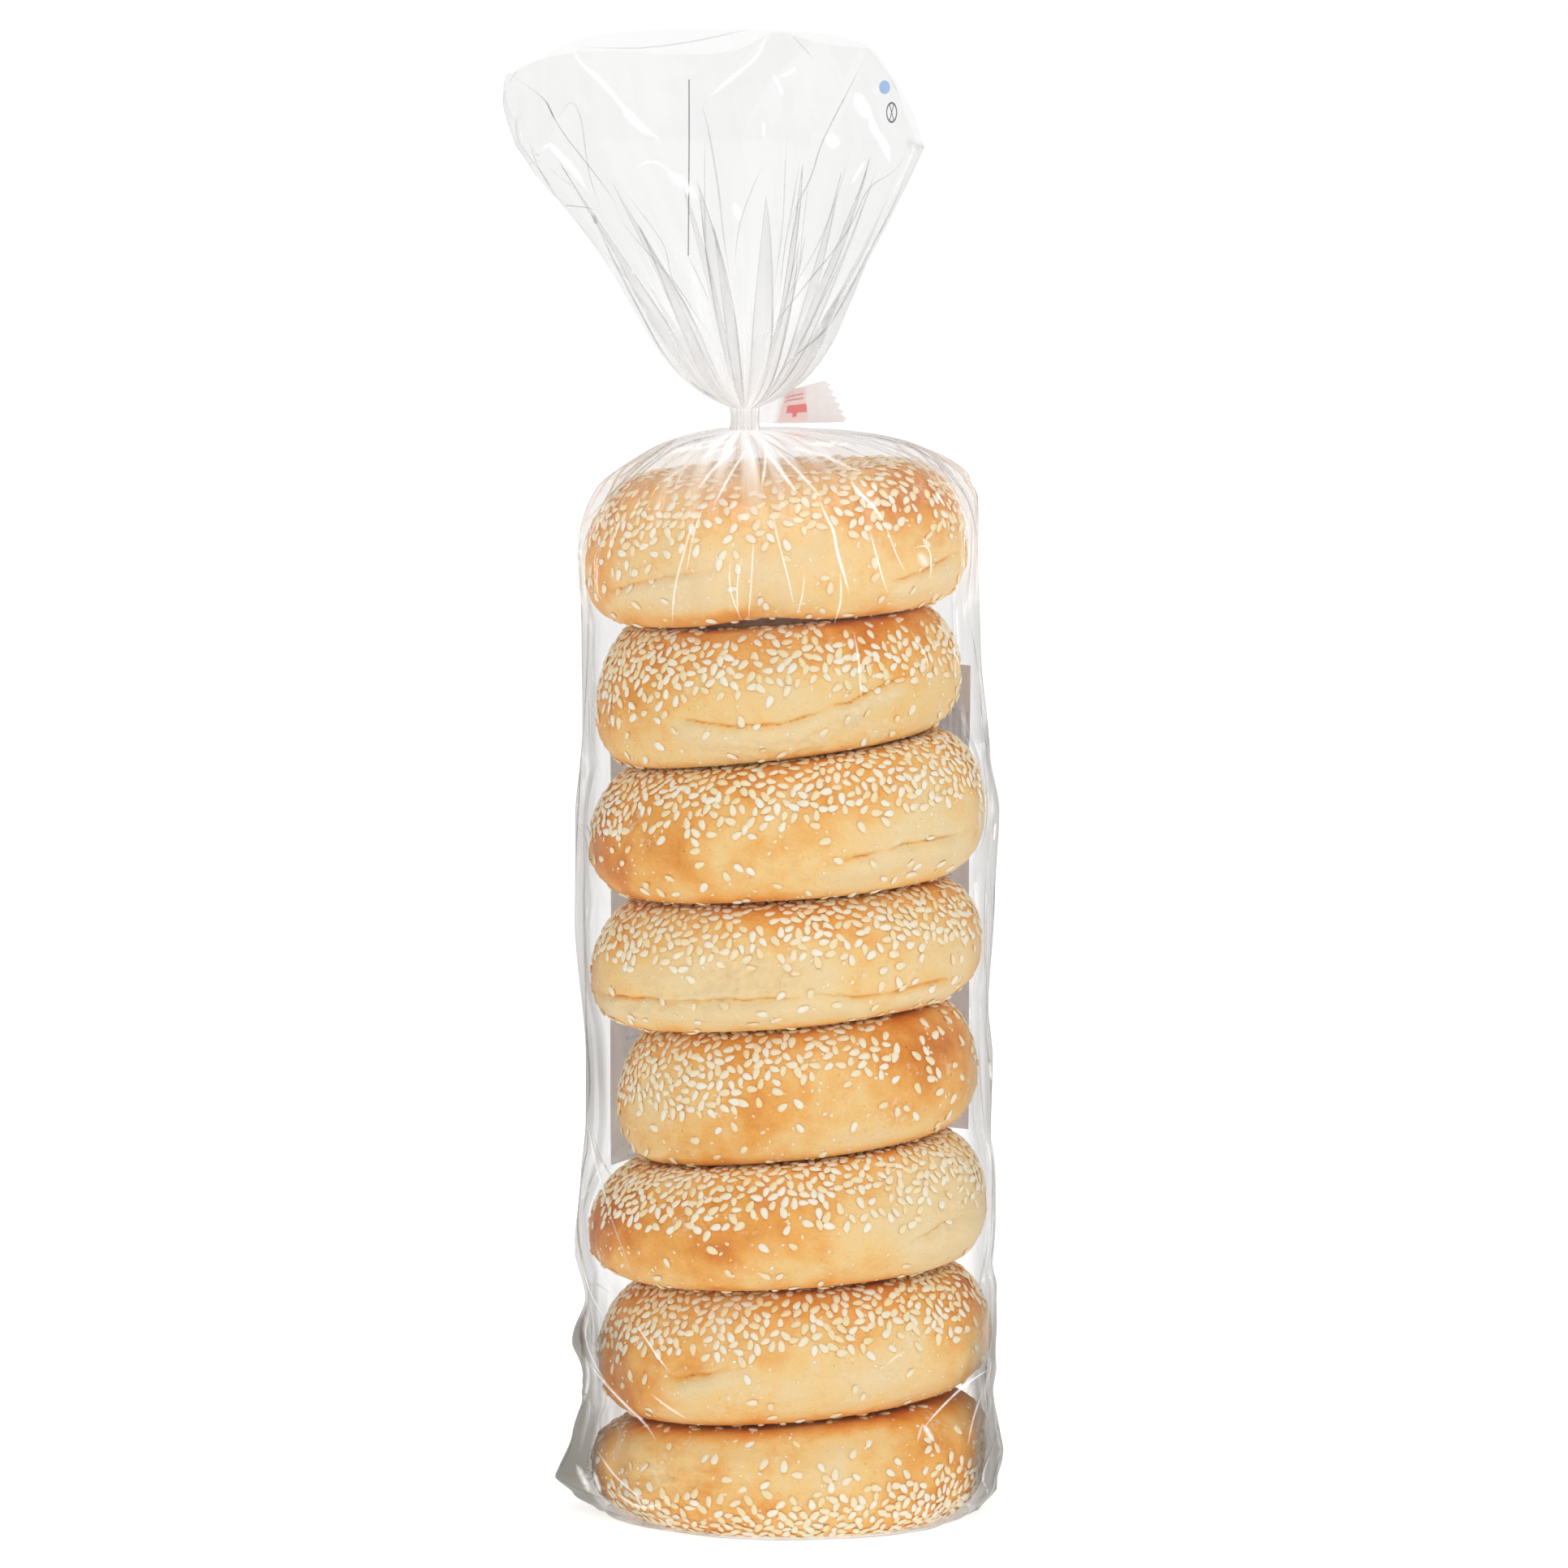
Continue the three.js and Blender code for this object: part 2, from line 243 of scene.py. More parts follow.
# The bagels. Eight rings of boiled and baked wheat dough, domed and golden above, flat and pale
# below, pressed a little into each other by the bag. The lowest one lies upside down. Each has
# the creases, dimples and baked patches that show from the front, and its back has another's.
# height is from one contact plane to the next, shift is to the right, and lean is the slope of
# the upper plane in degrees. A place on a side is x and a share of the bagel's height. A dimple and
# a baked patch are such a place, their width and height there, and how deep or how brown. The
# patches at x -38 on the two lowest bagels are partly painted shade, where the film's folded lower
# left corner shades them. The hollow under the top one is its x, its width and its rise.
BAGELS = (
    {
        "height": 28.6, "width": 104.6, "shift": 1.3, "lean": 4.8,
        "creases": [],
        "dimples": [(-22, 0.55, 16, 0.25, 1.2), (-36, 0.62, 7, 0.12, 0.8)],
        # Its first patch is partly painted shade from the film's folded lower left corner.
        "bake_and_shade": [(-38, 0.5, 22, 0.5, 0.24), (42, 0.55, 16, 0.4, 0.38), (-4, 0.5, 18, 0.25, -0.08)],
    },
    {
        "height": 34.3, "width": 103.0, "shift": 1.5, "lean": 2.9,
        "creases": [[(-33, 0.46), (-27, 0.41), (-21, 0.45), (-14, 0.5)]],
        "dimples": [(-25, 0.5, 9, 0.12, 1.3)],
        # Its first patch is partly painted shade from the film's folded lower left corner.
        "bake_and_shade": [(-38, 0.4, 13, 0.3, 0.5), (12, 0.4, 24, 0.25, -0.14), (46, 0.75, 10, 0.3, 0.25)],
    },
    {
        "height": 32.4, "width": 105.5, "shift": 0.2, "lean": 6.2,
        "creases": [[(30, 0.3), (40, 0.4), (49, 0.42)]],
        "dimples": [(44, 0.52, 8, 0.2, 0.8)],
        "bake_and_shade": [(-24, 0.5, 26, 0.35, 0.44), (44, 0.5, 15, 0.45, -1.1), (4, 0.4, 18, 0.3, 0.2)],
    },
    {
        "height": 34.3, "width": 94.6, "shift": 2.6, "lean": 5.1,
        "creases": [],
        "dimples": [(-34, 0.14, 4, 0.08, -1.3), (-24, 0.2, 6, 0.1, 0.8), (-40, 0.3, 5, 0.1, 0.8)],
        "bake_and_shade": [(36, 0.62, 18, 0.35, 0.38), (-30, 0.3, 14, 0.25, 0.1), (-2, 0.42, 18, 0.25, 0.3)],
    },
    {
        "height": 32.5, "width": 102.0, "shift": 0.0, "lean": 4.0,
        "creases": [
            [(-49, 0.34), (-40, 0.31), (-24, 0.3), (-10, 0.3), (8, 0.28), (22, 0.22), (44, 0.26)],
        ],
        "dimples": [(-9, 0.5, 17, 0.17, 3.4), (-34, 0.25, 12, 0.12, 1.2)],
        "bake_and_shade": [(-9, 0.50, 24, 0.24, -0.5), (-36, 0.4, 16, 0.25, -0.1), (34, 0.4, 20, 0.3, -0.1)],
    },
    {
        "height": 35.8, "width": 104.0, "shift": 0.0, "lean": 6.8,
        "creases": [[(12, 0.3), (31, 0.34), (48, 0.35)]],
        "dimples": [(-8, 0.3, 14, 0.15, 0.6)],
        "bake_and_shade": [(-36, 0.42, 18, 0.35, 0.46), (38, 0.4, 18, 0.3, -0.34), (-5, 0.5, 22, 0.3, 0.06)],
    },
    {
        "height": 34.2, "width": 95.7, "shift": -2.5, "lean": 4.0,
        "creases": [
            [(-30, 0.42), (-22, 0.36), (-14.6, 0.32), (-2, 0.3), (14.6, 0.4), (29, 0.52), (36, 0.62)],
        ],
        "dimples": [(6, 0.14, 22, 0.1, -0.9)],
        "bake_and_shade": [(18, 0.85, 26, 0.25, 0.34), (-38, 0.5, 14, 0.35, 0.16), (0, 0.45, 20, 0.2, -0.1)],
    },
    {
        "height": 36.0, "width": 99.6, "shift": -2.6, "lean": 3.0,
        "creases": [
            [(-46, 0.29), (-38, 0.35), (-31, 0.4), (-17, 0.44)],
            [(24, 0.26), (34, 0.3), (45, 0.41)],
        ],
        "dimples": [(36, 0.55, 5, 0.1, 0.8)],
        "bake_and_shade": [(33, 0.85, 18, 0.22, 0.36), (-20, 0.08, 18, 0.07, 0.45), (-8, 0.4, 24, 0.3, -0.28)],
        "hollow": (-6, 13, 1.9),
    },
)
UPSIDE_DOWN = 0  # the lowest one
TOP_ONE = len(BAGELS) - 1
BACK_LIKE = 3  # a bagel's back has the features of the one three places on

RING_CORE = 31  # radius of the ring through the middle of the dough
HOLE_RADIUS = 10
BELLY = 0.42  # share of the height where a bagel is widest
RIM_EASE = 1.2  # its round rim stays this far inside the film
SECTION_POINTS = 126
TURN_STEPS = 400
FRONT_EASE = 0.4  # how much closer together a mesh's columns are at the front
PRESSED_EDGE = 0.06  # share of the height over which a pressed face rounds off
DIMPLE_EDGE = math.exp(-6)  # a dimple has no depth where its nearness is less than this
DEEPEST_WRINKLES = 1.5

planes = [(0.0, 0.0)]
for bagel in BAGELS:
    planes.append((planes[-1][0] + bagel["height"], math.tan(math.radians(bagel["lean"]))))


def lerp(low, high, share):
    return low + (high - low) * share


def smoothstep(value, low, high):
    share = min(1.0, max(0.0, (value - low) / (high - low)))
    return share * share * (3 - 2 * share)


def contact_heights(index, x):
    """The heights of the two sloping contact planes of a bagel at an x."""
    return [z + x * slope for z, slope in planes[index : index + 2]]


def height_at(index, share, x):
    low, high = contact_heights(index, x)
    return lerp(low, high, share)


def share_at(index, place):
    low, high = contact_heights(index, place.x)
    return (place.z - low) / (high - low)


def column_of(place, columns):
    """The column of a vertex of a grid 1 wide that is rolled up, so that its last is its first."""
    return round((place + 0.5) * columns) % columns


def nearness(x, share, patch):
    """1 in the middle of a patch [x, share, width, height, ...] of a side, fading out round it."""
    at_x, at_share, wide, tall = patch[:4]
    return math.exp(-(((x - at_x) / wide) ** 2) - ((share - at_share) / tall) ** 2)


def section_point(index, around, rim):
    """The closed section of a ring of dough: flat below with a round lower edge, domed above. Its
    points are closer together on the outside."""
    turn = around - 0.5 * math.sin(around)
    cosine, sine = math.cos(turn), math.sin(turn)
    reach = rim - RING_CORE if cosine > 0 else RING_CORE - HOLE_RADIUS
    rise = (1.05 if index == TOP_ONE else 1.04) - BELLY if sine > 0 else BELLY * 1.04
    power = 2.3 if sine < 0 else 2.5 if index == UPSIDE_DOWN else 2.05
    out = math.copysign(abs(cosine) ** (2 / power), cosine)
    up = math.copysign(abs(sine) ** (2 / power), sine)
    return RING_CORE + out * reach, BELLY + up * rise


def pressed(share):
    """Flattens what would pass a contact plane, with a soft edge."""
    soft = PRESSED_EDGE
    if share > 1 - soft:
        return 1 - soft + soft * math.tanh((share - 1 + soft) / soft)
    if share < soft:
        return soft - soft * math.tanh((soft - share) / soft)
    return share


def side_features(index, place):
    """The features of the side that a place is on, its x there, and how far it is from the folds."""
    if place.y < 0:
        return BAGELS[index], place.x, smoothstep(-place.y, 2, 12)
    return BAGELS[(index + BACK_LIKE) % len(BAGELS)], -place.x, smoothstep(place.y, 2, 12)


def crease_at(crease, x, share, height):
    """How far a place is from a crease and how far above it, and how much of it is there."""
    best, above, along = math.inf, 0, 0
    share += 0.022 * noise.noise(Vector((x / 4.5, height, crease[0][0])))
    for (x0, s0), (x1, s1) in zip(crease, crease[1:]):
        dx, dz = x1 - x0, (s1 - s0) * height
        t = ((x - x0) * dx + (share - s0) * height * dz) / (dx * dx + dz * dz)
        t = min(1.0, max(0.0, t))
        off_x, off_z = x - x0 - t * dx, (share - s0) * height - t * dz
        distance = math.hypot(off_x, off_z)
        if distance < best:
            best, above = distance, off_z
            ends = x - crease[0][0], crease[-1][0] - x
            along = smoothstep(min(ends), -1, 7)
    uneven = 0.8 + 0.9 * noise.noise(Vector((x / 7, height, 9)))
    return best, above, along * min(1.0, max(0.25, uneven))


def crease_relief(crease, x, share, height):
    """A sharp dent along a line, with the lower side bulging over it as folded dough does."""
    away, above, along = crease_at(crease, x, share, height)
    groove = -1.2 * math.exp(-((away / 0.65) ** 2))
    lip = 1.5 * math.exp(-(((away - 2.6) / 2.4) ** 2)) if above < 0 else 0
    return (groove + lip) * along


def crease_shade_and_bake(crease, x, share, height):
    """A crease is darker in its depth, as a painted shadow, darker just above it, as painted shade, and
    paler on the fold of dough below it.
    """
    away, above, along = crease_at(crease, x, share, height)
    # Painted shadow along the bottom of the crease.
    depth = 0.32 * math.exp(-((away / 0.5) ** 2))
    # Paler on the fold below it, and painted shade just above it.
    below = -0.34 * math.exp(-(((away - 2.8) / 3.0) ** 2)) if above < 0 else 0.10 * math.exp(-away / 3)
    return (depth + below) * along


def crust_relief(index, place, share):
    """How far the crust stands out at a place, in millimetres."""
    looks, x, fade = side_features(index, place)
    shifted = place + Vector((0, 0, 90 * index))
    relief = 1.1 * noise.noise(shifted / 34) + 0.5 * noise.noise(shifted / 13)
    relief += 0.15 * noise.noise(shifted / 3.4) + 0.06 * noise.noise(shifted / 1.4)
    wrinkled = Vector((shifted.x / 9, shifted.y / 9, shifted.z / 1.7))
    relief += 0.16 * noise.noise(wrinkled) * smoothstep(0.75 - share, 0, 0.4)
    for crease in looks["creases"]:
        relief += crease_relief(crease, x, share, looks["height"]) * fade
    for dimple in looks["dimples"]:
        depth, near = dimple[4], nearness(x, share, dimple)
        if near > DIMPLE_EDGE:
            wrinkle = 1.1 * noise.noise(Vector((x / 5, 0, place.z / 1.9 + x / 16)))
            wrinkle += 0.7 * noise.noise(Vector((x / 2.2, 4, place.z / 1.8)))
            relief -= (depth + wrinkle * min(DEEPEST_WRINKLES, abs(depth))) * near * fade
    return relief


def crust_bake_and_shade(index, place, share):
    """How brown the crust is at a place, with painted shade added in: 0 is pale, 1 is deep gold."""
    looks, x, fade = side_features(index, place)
    dome = 1 - share if index == UPSIDE_DOWN else share
    shifted = place + Vector((40, 0, 70 * index))
    bake_and_shade = 0.24 + 0.27 * smoothstep(dome, 0.35, 0.95)
    bake_and_shade += 0.26 * noise.noise(shifted / 26) + 0.20 * noise.noise(shifted / 9)
    bake_and_shade += 0.10 * noise.noise(shifted / 3.5)
    bake_and_shade += 0.30 * (1 - smoothstep(dome, 0.0, 0.13))
    # Browner towards both ends of x, more at negative x: painted shade where the sides turn away from
    # the light.
    bake_and_shade += 0.16 * smoothstep(x, 36, 50) + 0.26 * smoothstep(-x, 34, 50)
    for crease in looks["creases"]:
        bake_and_shade += crease_shade_and_bake(crease, x, share, looks["height"]) * fade
    for patch in looks["bake_and_shade"]:
        bake_and_shade += patch[4] * nearness(x, share, patch) * fade
    return min(1.0, max(0.0, bake_and_shade))


crust, start = new_material("bagel_crust")
place = start.place()
# The stored value is how brown the crust is, with painted shade added in at its sides, along creases and
# over the lower left of the two lowest bagels.
bake_and_shade = start.stored("bake_and_shade")
blotch = place.noise(5.0, 3.0) - 0.5
speckle = place.noise(0.9, 3.0, 0.65) - 0.5
freckles = 1 - place.node("TexVoronoi", {"Vector": place, "Scale": 1 / (3.3 * MM)}).between(0.05, 0.14)
freckled = freckles * place.noise(7.0, 1.0).between(0.5, 0.62)
brown = (bake_and_shade + blotch * 0.32 + speckle * 0.28 + freckled * 0.35).clamped()
BAKING = (
    (0.0, srgb(248, 221, 168)),
    (0.28, srgb(252, 211, 140)),
    (0.55, srgb(248, 180, 90)),
    (0.8, srgb(230, 144, 54)),
    (1.0, srgb(202, 114, 40)),
)
baked = brown.node("ValToRGB", {0: brown}, stops=BAKING)
dust = (place.noise(1.5, 2.0) * place.noise(11.0, 1.0)).between(0.34, 0.46)
dusted = (dust * 0.4).mix(baked, paint(248, 236, 212))
fine = place.noise(0.45, 3.0, 0.6)
pores = 1 - place.node("TexVoronoi", {"Vector": place, "Scale": 1 / (1.9 * MM)}).between(0.06, 0.30)
skin = place.noise(2.4, 3.0, 0.6, stretch=(1, 1, 2.6))
surface = fine * 0.3 + skin * 0.8 - pores * 0.4
bumped = start.node("Bump", {"Height": surface, "Distance": 0.4 * MM, "Strength": 0.8})
rough = 0.42 + fine * 0.25
sockets = {"Base Color": dusted, "Roughness": rough, "Normal": bumped}
start.shows(start.node("BsdfPrincipled", {**sockets, "Specular IOR Level": 0.35}))

bagels = []
for index, looks in enumerate(BAGELS):
    rim = looks["width"] / 2 - RIM_EASE
    section = [
        section_point(index, 2 * math.pi * i / SECTION_POINTS, rim) for i in range(SECTION_POINTS)
    ]
    bm = bmesh.new()
    bake_and_shade_layer = bm.verts.layers.float.new("bake_and_shade")
    bmesh.ops.create_grid(bm, x_segments=TURN_STEPS, y_segments=SECTION_POINTS, size=0.5)
    for vertex in bm.verts:
        turn = 2 * math.pi * column_of(vertex.co.x, TURN_STEPS) / TURN_STEPS
        turn -= FRONT_EASE * math.cos(turn)
        radius, share = section[column_of(vertex.co.y, SECTION_POINTS)]
        vertex.co = (radius * math.cos(turn), radius * math.sin(turn), share)
    bmesh.ops.remove_doubles(bm, verts=bm.verts, dist=1e-5)
    shares = []
    for vertex in bm.verts:
        share = vertex.co.z
        if index == UPSIDE_DOWN:
            share = 1 - share
        if share < 0.5 or index != TOP_ONE:
            share = pressed(share)
        x, y = vertex.co.x + looks["shift"], vertex.co.y
        shares.append(share)
        vertex.co = (x, y, height_at(index, share, x))
        if "hollow" in looks and y < 0:
            at_x, wide, rise = looks["hollow"]
            vertex.co.z += rise * math.exp(-(((x - at_x) / wide) ** 2)) * (1 - smoothstep(share, 0, 0.3))
    bmesh.ops.recalc_face_normals(bm, faces=bm.faces)
    bm.normal_update()
    for vertex, share in zip(bm.verts, shares):
        vertex[bake_and_shade_layer] = crust_bake_and_shade(index, vertex.co, share)
        relief = crust_relief(index, vertex.co, share)
        held = 1 - smoothstep(abs(vertex.normal.z), 0.75, 0.98) * 0.8
        vertex.co += vertex.normal * relief * held
    bagel = new_object(bm, f"bagel_{index + 1}", crust)
    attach(bagel, "root")
    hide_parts("bag")
    bagels.append(bagel)


# Sesame. Hulled seeds are pressed into the dough before baking, so they lie flat on the domes,
# thick near the top and in patches, with a few strays and crumbs of hull lower down.
SEED_SIZE, SEED_GROWTH = (3.3, 2.1, 0.9), (0.82, 1.08)
CRUMB_SIZE, CRUMB_GROWTH = (3.3, 2.2, 1.1), (0.16, 0.42)
SEED_SPACING = 2.15
SEED_TIP = 0.13  # how far a seed may be tipped, as a slope
HIDDEN_RADIUS = 33  # nothing is strewn nearer the stack's axis than this, where it can't be seen
SEED_THICKEST = 0.34  # seeds to a square millimetre in the densest patches, before the crowded go
STRAYS = 0.007  # seeds to a square millimetre anywhere
CRUMBS = 0.03  # crumbs of hull to a square millimetre
SEED_PATCHES = {
    # more or fewer seeds on a bagel's front: x, share, width, height and how many more
    0: [(30, 0.28, 18, 0.25, 1.0), (0, 0.08, 45, 0.1, 1.2)],
    2: [(10, 0.8, 40, 0.2, 0.5)],
    3: [(-22, 0.68, 17, 0.22, 2.2), (36, 0.7, 14, 0.3, -1.2)],
    5: [(5, 0.86, 40, 0.12, 0.5)],
    6: [(-34, 0.72, 14, 0.25, 0.8), (20, 0.96, 20, 0.14, -1.6), (30, 0.7, 14, 0.14, 0.6)],
    7: [
        (-34, 0.74, 13, 0.13, 1.5), (8, 0.84, 9, 0.12, 1.5), (24, 0.88, 8, 0.1, 1.6),
        (-14, 0.5, 3.5, 0.07, 0.5), (-42, 0.46, 6, 0.07, 0.4),
    ],
}
SEEDINESS = {3: 0.5, 7: 0.22}  # how thickly a bagel is strewn between its patches


def seed_density(index, place, share):
    """Seeds to a square millimetre at a place on the crust."""
    dome = 1 - share if index == UPSIDE_DOWN else share
    thick = smoothstep(dome, 0.48, 0.80) * SEEDINESS.get(index, 1)
    shifted = place + Vector((0, 0, 55 * index))
    patchy = 0.85 + 1.5 * noise.noise(shifted / 15) + 0.6 * noise.noise(shifted / 6)
    if place.y < 0:
        for patch in SEED_PATCHES.get(index, ()):
            more, near = patch[4], nearness(place.x, share, patch)
            patchy += more * near
            thick = max(thick, more * 0.6 * near)
    return SEED_THICKEST * min(1.2, max(0.0, patchy)) * thick + STRAYS


sesame, start = new_material("sesame")
place = start.place()
tone = start.stored("tone")
crest = start.stored("crest")
grain = place.noise(0.35, 2.0)
ripe = tone.mix(paint(253, 232, 180), paint(255, 251, 234))
# The seed's lower sides, towards the crust, are painted a darker tan as shade.
hull = crest.between(-0.35, 0.5).mix(paint(238, 198, 132), ripe)
bumped = start.node("Bump", {"Height": grain, "Distance": 0.06 * MM, "Strength": 0.6})
sockets = {"Base Color": hull, "Roughness": 0.38 + grain * 0.2, "Normal": bumped}
start.shows(start.node("BsdfPrincipled", {**sockets, "Specular IOR Level": 0.45}))

bm = bmesh.new()
bmesh.ops.create_uvsphere(bm, u_segments=9, v_segments=5, radius=0.5)
bmesh.ops.rotate(bm, verts=bm.verts, matrix=Matrix.Rotation(math.pi / 2, 3, "Y"))
for vertex in bm.verts:
    taper = 1 - 0.55 * (vertex.co.x + 0.1)
    vertex.co.y *= taper
    vertex.co.z *= taper
one_seed = bpy.data.meshes.new("one_seed")
bm.to_mesh(one_seed)
crests = [2 * vertex.co.z for vertex in bm.verts]
bm.free()

draw = random.Random(8)
taken = {}
tones = []


def crowded(place, spacing):
    """Whether a seed lies closer than the spacing to a place, else it takes the place."""
    cell = tuple(math.floor(v / spacing) for v in place)
    for i in range(27):
        near = (cell[0] + i % 3 - 1, cell[1] + i // 3 % 3 - 1, cell[2] + i // 9 - 1)
        if any((place - other).length < spacing for other in taken.get(near, ())):
            return True
    taken.setdefault(cell, []).append(place)
    return False


def lay_seed(bm, place, normal, size):
    """Adds a seed that lies on the crust, turned at random and tipped a little."""
    lean = Vector([draw.uniform(-SEED_TIP, SEED_TIP) for _ in range(3)])
    turned = (normal + lean).to_track_quat("Z", "Y").to_matrix().to_4x4()
    turned = turned @ Matrix.Rotation(draw.uniform(0, 2 * math.pi), 4, "Z")
    placed = Matrix.Translation(place + normal * size[2] * 0.2) @ turned @ Matrix.Diagonal((*size, 1))
    one_seed.transform(placed)
    bm.from_mesh(one_seed)
    one_seed.transform(placed.inverted())
    tones.append(draw.random())


for index, bagel in enumerate(bagels):
    tones.clear()
    bm = bmesh.new()
    for polygon in bagel.data.polygons:
        place = polygon.center / MM
        share = share_at(index, place)
        hidden = math.hypot(place.x, place.y) < HIDDEN_RADIUS and index != TOP_ONE
        chance = draw.random()
        if hidden or (index == UPSIDE_DOWN and share < 0.015):
            continue
        area = polygon.area / MM**2
        density = seed_density(index, place, share)
        if chance < density * area * 2.0:
            if not crowded(place, SEED_SPACING):
                grown = draw.uniform(*SEED_GROWTH)
                lay_seed(bm, place, polygon.normal, [side * grown for side in SEED_SIZE])
        elif chance > 1 - CRUMBS * area:
            grown = draw.uniform(*CRUMB_GROWTH)
            lay_seed(bm, place, polygon.normal, [side * grown for side in CRUMB_SIZE])
    tone_layer = bm.verts.layers.float.new("tone")
    crest_layer = bm.verts.layers.float.new("crest")
    for number, vertex in enumerate(bm.verts):
        vertex[tone_layer] = tones[number // len(crests)]
        vertex[crest_layer] = crests[number % len(crests)]
    seeds = new_object(bm, f"sesame_{index + 1}", sesame)
    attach(seeds, "root")
    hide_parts("bag")
bpy.data.meshes.remove(one_seed)


# The bag. One tube of clear plastic film, 0.03 mm thick, flattened so that it has a fold at each
# side, sealed and folded under at the bottom and gathered to a neck. It is modelled as one sheet:
# a grid is wrapped round the stack and closed, and its vertices are moved.
AROUND = 336
BASE_ROWS, SLEEVE_ROWS, SHOULDER_ROWS, NECK_ROWS = 14, 190, 60, 8
FILM_EASE = 1.0
VALLEY_DEPTH = 1.2
BASE_CURL = 7.5  # how far the film curls in under the lowest bagel
SIDE_X = 52
BASE_RADIUS, BASE_FRONT = 47, 40
LEFT_FOLD = (
    (0, -48), (4, -55), (9, -60.5), (20, -56.2), (35, -51.6), (47, -54.5), (56, -51.2), (70, -54.5),
    (87, -53), (101, -51.8), (120, -51.8), (152, -54.5), (181, -54.1), (202, -52.4), (255, -53.3),
)
RIGHT_FOLD = (
    (0, 50), (5, 54), (16, 56.2), (31, 53.7), (37, 54.6), (56, 52.9), (72, 53.8), (97, 52.8),
    (118, 53.3), (131, 52), (160, 53.7), (182, 54.9), (196, 52.4), (223, 49.8), (255, 48.9),
)
NECK_X, NECK_RADIUS, NECK_BASE, NECK_TOP = -10.8, 3.0, 279.5, 285.0
SHOULDER_POWER = 2.35
RIM_LEVEL = len(BAGELS) - 0.5

SLEEVE_CREASES = (
    # sharp creases on the front: points [x, z], width, and how far it stands out
    (((-53, 44), (-38, 26), (-29, 19)), 3.0, 0.9),
    (((-46, 31), (-33, 17)), 2.5, 0.7),
    (((-53, 66), (-45, 38), (-41, 20)), 3.0, 0.8),
    (((51, 40), (43, 30), (35, 24)), 3.0, 0.9),
    (((52, 60), (46, 45), (47, 26)), 3.0, 0.7),
    (((-41, 52), (-34, 42), (-29, 36)), 2.4, 0.5),
    (((9, 262), (12, 255), (15, 245), (16, 236)), 1.8, 0.5),
    (((20, 256), (26, 240), (31, 226)), 1.8, 0.4),
    (((27, 258), (33, 247), (36, 233)), 1.8, 0.4),
    (((-10, 256), (-13, 240), (-15, 222)), 1.8, 0.35),
    (((-20, 252), (-24, 236), (-27, 222)), 1.8, 0.35),
    (((-2, 254), (1, 238), (0, 220)), 1.8, 0.35),
)


def apart(angle, middle):
    return math.atan2(math.sin(angle - middle), math.cos(angle - middle))


def bump(angle, middle, spread):
    return math.exp(-((apart(angle, middle) / spread) ** 2))


def on_line(points, z):
    """The x of a line of [z, x] points at a height."""
    for (low_z, low_x), (high_z, high_x) in zip(points, points[1:]):
        if z < high_z:
            share = max(0, (z - low_z) / (high_z - low_z))
            return lerp(low_x, high_x, lerp(share, smoothstep(share, 0, 1), 0.6))
    return points[-1][1]


def crease_rise(creases, x, z):
    """How far sharp creases, which are lines in the front view, lift the film at a place."""
    rise = 0
    for points, wide, lift in creases:
        best = wide
        for (x0, z0), (x1, z1) in zip(points, points[1:]):
            if min(z0, z1) - wide < z < max(z0, z1) + wide:
                dx, dz = x1 - x0, z1 - z0
                t = min(1.0, max(0.0, ((x - x0) * dx + (z - z0) * dz) / (dx * dx + dz * dz)))
                best = min(best, math.hypot(x - x0 - t * dx, z - z0 - t * dz))
        rise += lift * (1 - best / wide)
    return rise


def facets(across, along, count, salt):
    """A crumpled sheet's height, -1 to 1: flat triangles that meet in sharp creases. It comes
    round to itself after count cells across."""
    column, row = math.floor(across), math.floor(along)
    fx, fy = across - column, along - row

    def corner(dx, dy):
        return noise.cell(Vector(((column + dx) % count + 0.5, row + dy + 0.5, salt + 0.5)))

    c00, c10, c01, c11 = corner(0, 0), corner(1, 0), corner(0, 1), corner(1, 1)
    if (column * 7 + row * 3) % 2:
        if fx > fy:
            return c00 + (c10 - c00) * fx + (c11 - c10) * fy
        return c00 + (c11 - c01) * fx + (c01 - c00) * fy
    if fx + fy < 1:
        return c00 + (c10 - c00) * fx + (c01 - c00) * fy
    return c11 + (c01 - c11) * (1 - fx) + (c10 - c11) * (1 - fy)


def crumple(angle, along, count, salt):
    """Facets of uneven size, count round the bag."""
    round_bag = Vector((math.cos(angle) * 2, math.sin(angle) * 2, along * 0.6 + salt))
    warp = noise.noise(round_bag)
    across = (angle / (2 * math.pi) * count + 0.7 * warp) % count
    return facets(across, along + 0.6 * noise.noise(round_bag * 1.7), count, salt)


def pleats(angle, count, drift):
    """Sharp-edged pleats of uneven width round the bag, -1 to 1."""
    uneven = 0.9 * math.sin(angle * 3 + drift) + 0.6 * math.sin(angle * 5 - 2 * drift + 1)
    wave = (angle * count + uneven) / (2 * math.pi)
    return 4 * abs(wave - math.floor(wave + 0.5)) - 1


def stack_at(level):
    """What the film hugs at a level, where each bagel is 1 high: which bagel, the share of its
    height, and the radius and shift there, drawn in a little between two bagels."""
    index = min(math.floor(level), TOP_ONE)
    share = level - index
    away = abs(2 * share - 1)
    other = BAGELS[min(TOP_ONE, max(0, index + (-1 if share < 0.5 else 1)))]
    own = BAGELS[index]
    blend = 0.5 * away**2
    radius = lerp(own["width"], other["width"], blend) / 2 - VALLEY_DEPTH * away**3
    return index, share, radius, lerp(own["shift"], other["shift"], blend)


